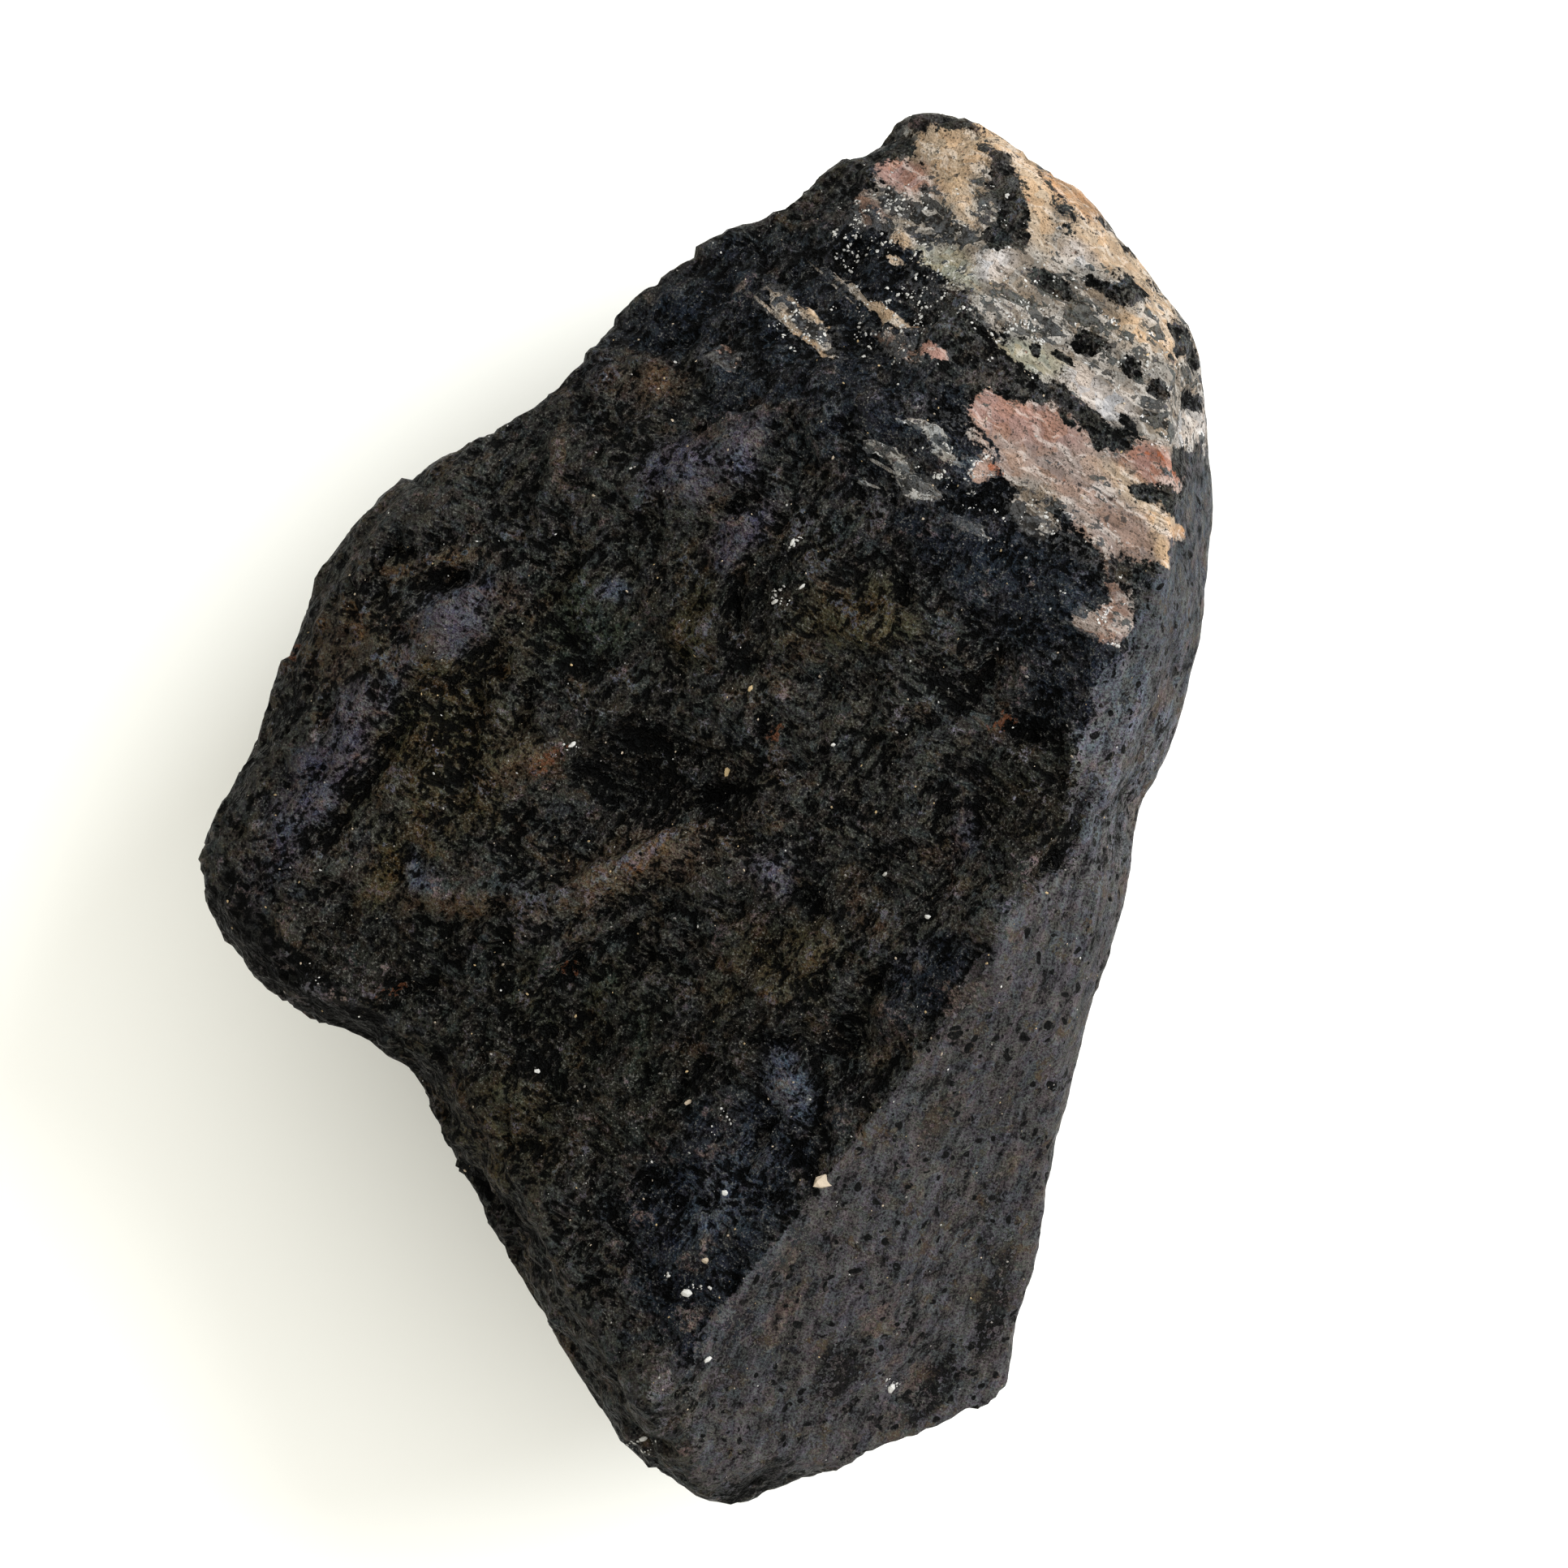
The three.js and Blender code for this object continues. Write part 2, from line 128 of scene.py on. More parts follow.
# kind, x, y, half length, half width, turn, how much dark is mixed in
paleSpots = [
    ("greyCream", 13.0, 30.6, 4.4, 2.9, -20, 0.85),
    ("greyCream", 17.2, 27.6, 4.6, 3.6, -30, 0.60),
    ("greyCream", 21.0, 24.4, 4.4, 4.0, -40, 0.55),
    ("greyCream", 24.2, 20.4, 2.3, 2.8, 0, 0.75),
    ("palePink", 18.0, 18.2, 4.4, 2.2, -24, 0.35),
    ("palePink", 21.2, 15.4, 3.4, 2.1, -34, 0.35),
    ("cream", 12.7, 34.1, 2.1, 1.3, -10, 0.1),
    ("cream", 12.8, 32.6, 1.4, 0.9, 80, 0.1),
    ("cream", 15.5, 34.7, 1.7, 0.55, -38, 0.1),
    ("pink", 10.5, 32.7, 1.9, 0.95, -25, 0.1),
    ("greyCream", 11.2, 30.5, 2.9, 1.1, -20, 0.9),
    ("cream", 17.2, 30.9, 2.9, 0.75, -72, 0.0),
    ("cream", 13.6, 31.1, 0.85, 0.55, -75, 0.2),
    ("tan", 19.0, 31.8, 1.7, 0.95, -45, 0.1),
    ("cream", 21.2, 28.6, 2.9, 0.7, -42, 0.1),
    ("cream", 24.0, 25.2, 1.9, 0.7, -68, 0.2),
    ("white", 15.1, 28.5, 1.4, 0.7, 5, 0.1),
    ("greenGrey", 12.7, 28.1, 1.5, 0.85, -25, 0.4),
    ("white", 19.3, 29.0, 0.8, 0.7, 0, 0.2),
    ("greyCream", 19.1, 25.5, 4.6, 1.7, -20, 0.7),
    ("cream", 22.4, 24.6, 1.7, 1.3, -30, 0.5),
    ("white", 20.3, 21.5, 2.1, 0.95, -28, 0.0),
    ("greenGrey", 17.0, 23.1, 2.1, 0.7, -20, 0.1),
    ("greyCream", 23.9, 20.6, 2.3, 1.7, 80, 0.6),
    ("white", 25.1, 20.0, 1.3, 0.85, 80, 0.4),
    ("pink", 16.9, 19.8, 3.1, 1.2, -22, 0.1),
    ("pink", 14.9, 20.4, 1.0, 1.1, 0, 0.2),
    ("palePink", 17.6, 17.5, 3.6, 1.1, -22, 0.25),
    ("palePink", 20.7, 14.7, 2.3, 1.6, -30, 0.4),
    ("cream", 22.0, 16.6, 2.3, 0.75, -35, 0.1),
    ("rose", 23.0, 17.7, 1.7, 1.0, -15, 0.2),
    ("cream", 23.5, 15.2, 1.4, 0.5, -38, 0.0),
    ("tan", 24.4, 14.5, 0.5, 0.35, -30, 0.0),
    ("cream", 23.5, 13.8, 1.3, 0.22, -74, 0.0),
    ("greyCream", 17.2, 15.6, 1.1, 1.35, 0, 0.9),
    ("dullPink", 21.1, 10.1, 1.5, 1.1, 65, 0.5),
    ("dullPink", 20.2, 9.2, 1.3, 0.8, -25, 0.6),
    ("dullPink", 21.1, 11.5, 0.9, 0.3, -80, 0.2),
    ("greyCream", 4.9, 25.2, 2.3, 0.6, -40, 0.9),
    ("cream", 5.1, 24.5, 1.9, 0.2, -38, 0.0),
    ("cream", 5.6, 25.6, 1.3, 0.18, -33, 0.0),
    ("greyCream", 8.0, 26.7, 1.8, 0.2, -42, 0.2),
    ("cream", 9.9, 25.4, 1.3, 0.38, -33, 0.2),
    ("dullPink", 10.0, 23.8, 1.7, 0.45, -40, 0.6),
    ("pink", 11.9, 23.4, 0.75, 0.45, -25, 0.0),
    ("cream", 10.4, 29.4, 0.6, 0.35, -30, 0.3),
    ("cream", 10.0, 28.4, 0.5, 0.3, -30, 0.3),
    ("dullPink", 8.6, 30.9, 1.1, 0.75, -40, 0.7),
    ("grey", 9.6, 18.0, 1.9, 0.45, -28, 0.6),
    ("grey", 10.9, 16.6, 1.7, 0.40, -32, 0.6),
    ("grey", 11.2, 19.6, 1.5, 0.40, -22, 0.6),
    ("grey", 12.6, 18.2, 1.3, 0.35, -26, 0.65),
    ("grey", 13.8, 14.6, 1.4, 0.35, -32, 0.7),
    ("grey", 8.3, 16.6, 1.1, 0.25, -30, 0.6),
    ("palePink", 14.4, 17.3, 0.85, 0.65, 0, 0.5),
    ("grey", 10.2, 35.1, 0.5, 0.22, -20, 0.3),
    ("dullPink", 0.9, 23.4, 1.0, 0.5, 0, 0.9),
]

# dark tourmaline blades inside the feldspar: x, y, half length, half width, turn
darkBlades = [
    (16.0, 31.3, 2.2, 0.8, -68), (15.2, 29.9, 0.9, 0.6, 20), (16.9, 21.6, 2.6, 0.45, -25),
    (20.1, 19.8, 1.15, 0.6, -70), (19.7, 24.0, 0.95, 0.5, -25), (20.7, 23.8, 0.75, 0.35, -10),
    (22.0, 22.7, 0.6, 0.6, 0), (23.3, 21.7, 0.65, 0.65, 0), (18.6, 23.1, 0.3, 0.25, 0),
    (17.0, 23.3, 0.25, 0.2, 0), (21.2, 26.9, 1.7, 0.4, -28), (17.8, 27.1, 1.2, 0.6, -40),
    (12.8, 26.1, 1.0, 0.6, 30), (25.3, 21.1, 0.45, 0.55, 0), (24.8, 18.1, 0.9, 0.55, 40),
    (23.0, 16.2, 1.0, 0.4, -25), (25.0, 24.2, 1.6, 0.45, -68), (21.5, 30.5, 1.6, 0.4, -45),
]

rock = {
    "oliveGrey": (0.0138, 0.0136, 0.0122),
    "olive": (0.0200, 0.0164, 0.0086),
    "green": (0.0092, 0.0125, 0.0085),
    "brown": (0.0250, 0.0185, 0.0125),
    "tan": (0.0380, 0.0255, 0.0150),
    # a purple-grey stain that is partly a painted sheen
    "purpleSheen": (0.0250, 0.0232, 0.0300),
    "lilac": (0.0370, 0.0350, 0.0430),
    # painted shade: laid on the hollow, the scoop and the lower left, and darker on the middle of the face
    "shadeDark": (0.0068, 0.0065, 0.0054),
    "deepBlue": (0.0048, 0.0062, 0.0092),
    "slate": (0.0320, 0.0375, 0.0500),
}

# kind, x, y, half length, half width, turn, strength
stains = [
    ("deepBlue", 11.8, 18.3, 9.0, 4.0, -35, 1.6),
    ("deepBlue", 16.0, 11.6, 6.0, 3.0, -40, 1.4),
    ("deepBlue", 19.8, 6.1, 3.0, 2.5, 0, 1.0),
    ("deepBlue", 5.5, 24.2, 6.0, 4.0, 30, 1.4),
    ("deepBlue", 9.7, 29.2, 4.0, 3.0, 40, 1.2),
    ("deepBlue", -0.8, 25.9, 6.0, 3.0, 38, 1.2),
    ("deepBlue", 1.3, -19.0, 5.0, 4.0, 50, 1.8),
    ("deepBlue", -0.8, -24.0, 3.0, 5.0, 20, 1.6),
    ("deepBlue", 11.8, -8.6, 2.5, 1.2, 55, 1.6),
    ("slate", 4.1, -14.0, 1.7, 0.9, -75, 3.0),
    ("slate", -14.6, -3.2, 1.3, 0.6, -60, 0.4),
    ("slate", 10.5, -8.0, 1.2, 0.4, 60, 0.4),
    ("lilac", 1.8, 18.7, 1.9, 0.9, 60, 0.25),
    ("slate", -4.6, 11.4, 0.6, 0.5, 0, 0.7),
    ("slate", 0.5, -20.0, 3.2, 1.6, 50, 2.2),
    ("lilac", 3.6, -3.8, 1.4, 1.0, -40, 0.7),
    # purple-grey, partly a painted sheen
    ("purpleSheen", 13.3, -1.2, 1.2, 0.6, 80, 1.4),
    ("purpleSheen", -19.4, 2.2, 5.6, 1.2, 58, 2.4),
    ("purpleSheen", -1.1, 17.8, 1.8, 1.5, 0, 0.8),
    ("purpleSheen", 1.7, 14.2, 2.0, 0.9, 45, 1.1),
    ("purpleSheen", -13.0, 9.5, 3.0, 1.5, 30, 0.5),
    ("tan", 8.3, -5.5, 1.1, 0.8, -60, 0.9),
    ("tan", -9.0, 2.4, 2.3, 0.5, 22, 1.3),
    ("brown", -2.9, -2.6, 3.6, 1.3, 18, 1.1),
    ("brown", -12.6, -5.0, 3.5, 0.5, -5, 0.9),
    ("brown", -14.2, 12.9, 2.4, 0.4, 8, 1.4),
    ("brown", -3.3, 22.1, 2.2, 1.0, 10, 1.0),
    ("brown", -18.9, 8.7, 2.5, 1.2, 60, 0.7),
    ("brown", 3.8, -5.8, 0.8, 0.7, 0, 0.6),
    ("brown", -9.0, 10.5, 1.8, 0.9, 0, 0.5),
    ("olive", 7.5, 9.7, 3.0, 1.5, 0, 1.6),
    ("olive", -0.4, 9.9, 3.0, 0.9, 75, 1.2),
    ("olive", -16.4, -2.7, 2.5, 0.7, 65, 1.5),
    ("olive", 17.7, 0.3, 2.4, 2.2, 0, 0.4),
    ("olive", -13.6, 3.7, 3.4, 5.0, -15, 2.4),
    # painted shade spots
    ("shadeDark", -16.0, -8.0, 4.0, 2.0, -15, 3.5),
    ("shadeDark", -7.0, -14.5, 6.0, 4.0, -30, 3.5),
    ("shadeDark", 17.7, 0.0, 2.8, 2.8, 0, 6.0),
    ("shadeDark", 5.5, -5.0, 4.5, 2.5, 10, 1.8),
    ("shadeDark", -3.5, 2.5, 3.2, 2.6, -30, 3.0),
    ("shadeDark", 2.0, -11.5, 5.0, 2.5, 20, 2.0),
    ("shadeDark", 1.5, 11.0, 3.5, 2.5, 0, 1.0),
    ("olive", 3.4, -8.6, 4.0, 2.0, 25, 0.6),
    ("olive", -9.2, -14.9, 5.0, 4.0, 0, 0.8),
    ("green", -7.1, 9.9, 2.5, 2.0, 0, 0.6),
    ("green", -6.0, -12.0, 6.0, 4.0, -40, 0.4),
]

# where the surface is painted black, as soot and as painted shade in the central hollow and along the shaded
# lower left: x, y, half length, half width, turn, strength
sooty = [
    (-3.8, 2.2, 2.8, 2.2, -30, 0.5), (-24.2, -5.0, 2.6, 0.9, -78, 0.9), (-22.6, -8.5, 2.4, 0.9, -45, 0.8),
    (-16.0, -13.0, 2.0, 0.8, -35, 0.6), (-12.6, -19.5, 6.0, 1.2, -60, 0.6), (-20.9, -8.9, 6.8, 1.2, -41, 0.9),
    (12.7, -10.0, 2.6, 0.8, 50, 0.7), (14.2, -8.2, 1.4, 0.6, 60, 0.8), (8.6, -14.4, 2.2, 0.6, 55, 0.6),
    (-0.8, -18.6, 0.5, 0.4, 0, 0.9), (6.8, -29.1, 1.9, 0.9, 55, 0.8), (11.6, -30.2, 2.4, 0.6, 57, 0.8),
    (14.9, -25.6, 3.2, 0.8, 75, 0.8), (14.8, -20.5, 3.4, 0.6, 76, 0.45), (-2.6, -31.0, 2.6, 0.7, -52, 0.6),
    (2.4, -34.8, 2.4, 0.7, 30, 0.8), (4.6, -23.0, 3.0, 1.0, 52, 0.25), (2.0, -27.5, 3.0, 0.9, 60, 0.35),
    (11.9, -16.5, 2.0, 0.8, 70, 0.45),
]

# ledges and hollows of the broken face: x, y, half length, half width, turn, height
folds = [
    (1.5, 10.5, 2.6, 0.45, 76, -0.50), (0.5, 10.5, 2.8, 0.60, 76, 0.32), (-9.4, 5.7, 2.0, 0.35, 72, -0.45),
    (-11.6, 5.5, 1.1, 0.30, 85, -0.35), (-14.8, 2.2, 0.9, 0.30, 65, -0.40), (0.1, 0.7, 2.4, 0.40, 12, -0.50),
    (4.0, 2.1, 1.6, 0.35, 13, -0.45), (-3.8, 2.1, 3.2, 2.4, -30, -0.34), (-10.6, -7.1, 1.2, 0.30, 52, -0.40),
    (-12.4, -3.9, 5.6, 1.1, -3, 0.38), (-11.3, -5.4, 4.5, 0.35, 10, -0.35), (6.8, -12.4, 2.2, 1.0, 45, -0.32),
    (10.4, 11.0, 1.3, 0.32, -50, -0.50), (14.6, 7.3, 1.2, 0.45, 65, -0.45),
    (16.6, 3.9, 1.3, 0.45, -15, -0.28),
    (19.4, -0.4, 2.2, 0.45, 84, -0.45), (17.6, -3.1, 1.5, 0.40, 25, -0.40), (11.1, 0.3, 1.7, 0.35, 75, -0.40),
    (4.0, 19.2, 1.6, 0.7, 60, -0.32), (1.4, 15.8, 1.3, 0.45, 25, -0.50), (-13.4, 11.8, 1.3, 0.60, 5, -0.55),
    (-14.2, 12.9, 2.4, 0.45, 8, 0.32), (-19.4, 2.2, 5.8, 1.2, 58, 0.42), (-17.4, 1.4, 5.5, 0.50, 60, -0.35),
    (1.8, 18.7, 2.0, 1.1, 60, 0.42), (1.7, 14.2, 2.0, 0.9, 45, 0.32), (-1.0, -14.4, 3.2, 0.40, 45, -0.42),
    (3.4, -12.0, 2.2, 0.40, 12, -0.35), (8.0, -8.1, 2.8, 0.45, 48, 0.30), (9.2, -9.0, 2.4, 0.35, 48, -0.35),
    (-4.6, 8.0, 3.0, 0.35, 30, -0.30), (-6.0, -7.5, 4.0, 0.40, 35, -0.35), (-2.5, -9.0, 4.5, 0.55, 35, 0.28),
    (6.5, -1.0, 3.6, 0.40, 48, -0.32), (5.2, -4.5, 1.6, 0.30, -35, -0.45),
    (-15.5, -9.5, 3.0, 0.40, 25, -0.35),
    (2.6, -17.4, 2.6, 0.35, 62, -0.40), (12.8, 4.0, 3.2, 0.50, 10, 0.30), (-5.3, -3.4, 5.6, 0.6, 25, 0.40),
    (-4.4, -5.0, 5.0, 0.45, 25, -0.32), (7.2, -5.6, 4.4, 0.6, 50, 0.30), (-13.6, 9.4, 3.2, 0.9, 40, 0.36),
    (-11.8, 7.6, 2.8, 0.40, 45, -0.32), (-8.6, -8.6, 3.6, 0.5, 50, 0.30), (1.2, -6.4, 3.0, 0.5, 35, 0.28),
]

# x, y, half length, half width, turn
rustSpots = [
    (15.1, 17.4, 0.4, 0.3, 0), (15.4, 4.2, 0.9, 0.4, 30), (-8.0, 2.6, 1.6, 0.4, 35),
    (-7.1, -8.1, 0.5, 0.3, 0), (3.4, 4.0, 0.6, 0.3, 70), (23.2, 17.9, 1.1, 0.2, -15),
    (-21.5, 8.0, 0.8, 0.3, 60), (-16.4, -9.4, 0.8, 0.3, 10),
]


def nearSpot(seen, x, y, long, wide, turn):  # 1 at the middle of an oval, 0 on its rim, less outside
    c, s = math.cos(math.radians(turn)), math.sin(math.radians(turn))
    dx, dy = seen[:, 0] - x, seen[:, 1] - y
    return 1 - ((dx * c + dy * s) / long) ** 2 - ((dy * c - dx * s) / wide) ** 2


def ease(low, high, value):
    t = np.clip((value - low) / (high - low), 0, 1)
    return t * t * (3 - 2 * t)


def placesOf(verts):
    return np.array([v.co for v in verts]) / mm


def wander(places, coarse, fine):  # a push for each place, from a coarse and a fine noise
    (size, reach), (fineSize, fineReach) = coarse, fine
    return np.array([
        noise.noise_vector(Vector(p) / size) * reach + noise.noise_vector(Vector(p) / fineSize) * fineReach
        for p in places
    ])


def seenFromAbove(places):
    over = np.array(eye["over"])
    reach = (eye["high"] - eye["focusHigh"]) / (eye["high"] - places[:, 2])
    ragged = wander(places, *stoneForm["rimWander"])
    return over + (places[:, :2] - over) * reach[:, None] + ragged[:, :2]


def wearOf(places, normals):  # 1 on the worn faces, 0 on the broken rest
    form = wornForm
    wear = np.zeros(len(places))
    size, reach = form["waver"]
    for at, falls, slope in form["faces"]:
        f, s = math.radians(falls), math.radians(slope)
        faceNormal = np.array([math.sin(s) * math.cos(f), math.sin(s) * math.sin(f), math.cos(s)])
        away = np.abs((places - np.array(at)) @ faceNormal)
        away = away + [reach * noise.noise(Vector(p) / size) for p in places]
        facing = ease(*form["facing"], normals @ faceNormal)
        wear = np.maximum(wear, (1 - ease(*form["away"], away)) * facing)
    way, facing, strength = form["side"]
    near, far, high = form["sideEnds"]
    right = ease(*facing, normals @ np.array(way))
    right = right * ease(*near, places[:, 1]) * (1 - ease(*far, places[:, 1])) * ease(*high, places[:, 2])
    wear = np.maximum(wear, strength * right)
    inner = np.interp(places[:, 1], *zip(*form["inner"]))
    return wear * ease(*form["innerFade"], places[:, 0] - inner)


def paleReach(seen):  # above 0 inside the feldspar and quartz
    farthest, bladeEdge = -3.0, 1.3
    reach = np.full(len(seen), farthest)
    for _, *oval, _ in paleSpots:
        reach = np.maximum(reach, nearSpot(seen, *oval))
    for blade in darkBlades:
        reach = np.minimum(reach, -nearSpot(seen, *blade) * bladeEdge)
    return reach


def levelAround(values, links, rounds):  # each point's values averaged with its neighbours'
    count = np.bincount(links.ravel(), minlength=len(values))
    for _ in range(rounds):
        total = np.empty_like(values)
        for column in range(values.shape[1]):
            total[:, column] = np.bincount(links[:, 0], values[links[:, 1], column], len(values))
            total[:, column] += np.bincount(links[:, 1], values[links[:, 0], column], len(values))
        values = (values + total / count[:, None]) / 2
    return values


def chipped(place, size, tilt):  # small flat fracture faces, each tilted its own way
    ownWay = 7.3
    near = noise.voronoi(place / size)[1][0]
    lean = noise.cell_vector(near * ownWay) * 2 - Vector((1, 1, 1))
    return tilt * size * (place / size - near).dot(lean)


def roughHeight(place, worn, pale):  # how far the relief lifts a place, in millimetres
    form = stoneForm
    place = place + form["start"]
    broken = 1 - form["wearLoss"] * worn
    size, high, loss = form["lump"]
    height = high * noise.noise(place / size) * (1 - loss * worn)
    grooveLoss, chipLoss = form["paleLoss"]
    size, deep, narrow = form["groove"]
    bend, reach = form["grooveWander"]
    drift = noise.noise_vector(place / bend) * reach
    grooved = max(0.0, 1 - narrow * abs(noise.noise((place + drift) / size)))
    height -= deep * grooved * broken * (1 - grooveLoss * pale)
    for size, tilt in form["chipSizes"]:
        push = noise.noise_vector(place / size) * form["chipWander"] * size
        height += chipped(place + push, size, tilt) * broken * (1 - chipLoss * pale)
    size, high, loss = form["grit"]
    height += high * noise.fractal(place / size, *form["gritLayers"]) * (1 - loss * worn)
    slant, line, width = form["fibreChange"]
    share = max(0.0, min(1.0, (place.y + slant * place.x - line) / width))
    for size, high, stretch in form["fibres"]:
        for turn, part in zip(form["fibreTurns"], (1 - share, share)):
            c, s = math.cos(math.radians(turn)), math.sin(math.radians(turn))
            lengthwise = (place.x * c + place.y * s) / stretch
            along = Vector((lengthwise, place.y * c - place.x * s, place.z * form["fibreUpright"]))
            height += high * noise.noise(along / size) * broken * part
    return height


def writeField(mesh, name, values):
    field = mesh.attributes.new(name, "FLOAT", "POINT")
    field.data.foreach_set("value", np.asarray(values, dtype=np.float32))


def writeTint(mesh, name, colours):
    field = mesh.attributes.new(name, "FLOAT_COLOR", "POINT")
    rgba = np.concatenate([colours, np.ones((len(colours), 1))], axis=1)
    field.data.foreach_set("color", rgba.astype(np.float32).ravel())


# the spots' values, blended where they meet; sharp is how hard their rims are, alike makes large and
# small ones count the same, and uneven pushes the rims about
def blendSpots(seen, spots, ground, sharp, alike=0.0, uneven=None):
    farthest, turnEach, tiltEach = -6, 2.4, 3.7
    total = np.atleast_1d(ground) * np.ones((len(seen), 1))
    weight = np.ones((len(seen), 1))
    for index, (value, *oval, strength) in enumerate(spots):
        near = np.clip(nearSpot(seen, *oval), farthest, 1)
        if uneven is not None:  # each rim in its own way
            t = index * turnEach
            near = near + uneven @ np.array([math.cos(t), math.sin(t), math.cos(index * tiltEach)])
        _, _, long, wide, _ = oval
        share = (strength / (alike + long * wide) * np.exp(sharp * near))[:, None]
        total += share * np.atleast_1d(value)
        weight += share
    return total / weight


def sweep(seen, spots):  # soft ovals, the strongest one where they overlap
    softRim = (-0.8, 0.6)
    values = np.zeros(len(seen))
    for *oval, strength in spots:
        values = np.maximum(values, strength * ease(*softRim, nearSpot(seen, *oval)))
    return values


def finerStone():  # a merged copy of the solid, cut finer and smoothed
    form = stoneForm
    bm = bmesh.new()
    bm.from_mesh(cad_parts["tourmaline_stone"].data)
    bmesh.ops.remove_doubles(bm, verts=bm.verts, dist=1e-6)
    bmesh.ops.subdivide_edges(bm, edges=bm.edges, cuts=form["cuts"], use_grid_fill=True)
    for _ in range(form["smoothRounds"]):
        bmesh.ops.smooth_vert(
            bm, verts=bm.verts, factor=0.5, use_axis_x=True, use_axis_y=True, use_axis_z=True
        )
    bm.normal_update()
    bm.edges.ensure_lookup_table()
    return bm


def surveyStone(bm, links):  # what each point of the smooth stone is: where, worn, pale, on the top
    form = stoneForm
    places = placesOf(bm.verts)
    normals = np.array([v.normal for v in bm.verts])
    seen = seenFromAbove(places)
    above = ease(*form["topFacing"], normals[:, 2]) * ease(*form["topHigh"], places[:, 2])
    above = levelAround(above[:, None], links, form["topSoftRounds"])[:, 0]
    worn = wearOf(places, normals)
    # on the sides the feldspar carries on as an uneven body at the stone's +Y end
    way, starts, fades, heldBack = form["paleEnd"]
    body = np.clip((places @ np.array(way) - starts) / fades, -3, 1.0) - heldBack
    pale = body + (paleReach(seen) - body) * ease(*form["paleTop"], above)
    return SimpleNamespace(places=places, normals=normals, seen=seen, above=above, worn=worn, pale=pale)


def raiseRelief(bm, at):
    form = stoneForm
    longer, wider, higher = form["foldGrowth"]
    folded = np.zeros(len(at.places))
    for x, y, long, wide, turn, high in folds:
        near = np.clip(nearSpot(at.seen, x, y, long * longer, wide * wider, turn), 0, 1)
        folded += higher * high * near ** 1.5
    starts, whole = form["restFade"]
    for v, wear, reach, top, fold in zip(bm.verts, at.worn, at.pale, at.above, folded):
        lifted = roughHeight(v.co / mm, wear, max(0.0, min(1.0, reach + 0.5))) + fold * top
        fade = min(1.0, max(0.0, (v.co.z / mm - starts) / whole))
        v.co += v.normal * lifted * fade * (form["wallShare"] + (1 - form["wallShare"]) * top) * mm
        v.co.z = max(v.co.z, 0.0)


def writeStoneFields(mesh, at, levels):
    form = stoneForm
    near, wide, widest = levels
    walls = form["crestWalls"]
    # how far a place stands out of its neighbourhood: painted highlight on crests, painted shade in hollows
    writeField(mesh, "raised", ((near - wide) * at.normals).sum(axis=1))
    writeField(mesh, "crestShade", ((wide - widest) * at.normals).sum(axis=1) * (walls + (1 - walls) * at.above))
    writeField(mesh, "paleReach", at.pale)
    writeField(mesh, "topShare", at.above)
    strength, sharp = form["mineralBlend"]
    spots = [(mineral[kind], *oval, strength) for kind, *oval, _ in paleSpots]
    writeTint(mesh, "mineralTint", blendSpots(at.seen, spots, mineral["greyCream"], sharp))
    strength, sharp = form["mixedBlend"]
    between, moreOnWalls = form["mixedGround"]
    spots = [(mixed, *oval, strength) for _, *oval, mixed in paleSpots]
    mixedDark = blendSpots(at.seen, spots, between, sharp)[:, 0]
    writeField(mesh, "mixedDark", mixedDark + moreOnWalls * (1 - at.above))
    strength, sharp, alike = form["stainBlend"]
    spots = [(rock[kind], *oval, strength * share) for kind, *oval, share in stains]
    uneven = wander(at.places, *form["stainWander"])
    writeTint(mesh, "rockTint", blendSpots(at.seen, spots, rock["oliveGrey"], sharp, alike, uneven))
    writeField(mesh, "worn", at.worn)
    # soot and painted shade: the sooty spots, and painted shade in the folds' hollows
    shadedHollows = [(*oval, -form["hollowShadeDepth"] * high) for *oval, high in folds if high < 0]
    soot = sweep(at.seen, sooty + shadedHollows)
    writeField(mesh, "soot", soot * ease(*form["sootHigh"], at.places[:, 2]))
    rust = sweep(at.seen, [(*spot, 1.0) for spot in rustSpots])
    writeField(mesh, "rust", rust * at.above)


def makeStone():
    noise.seed_set(stoneForm["seed"])
    bm = finerStone()
    links = np.array([(e.verts[0].index, e.verts[1].index) for e in bm.edges])
    at = surveyStone(bm, links)
    raiseRelief(bm, at)
    rough = placesOf(bm.verts)
    levels = [levelAround(rough, links, rounds) for rounds in stoneForm["levelRounds"]]
    mesh = bpy.data.meshes.new("tourmalineStone")
    bm.to_mesh(mesh)
    bm.free()
    mesh.polygons.foreach_set("use_smooth", np.ones(len(mesh.polygons), dtype=bool))
    writeStoneFields(mesh, at, levels)
    stone = bpy.data.objects.new("tourmalineStone", mesh)
    bpy.context.scene.collection.objects.link(stone)
    return stone


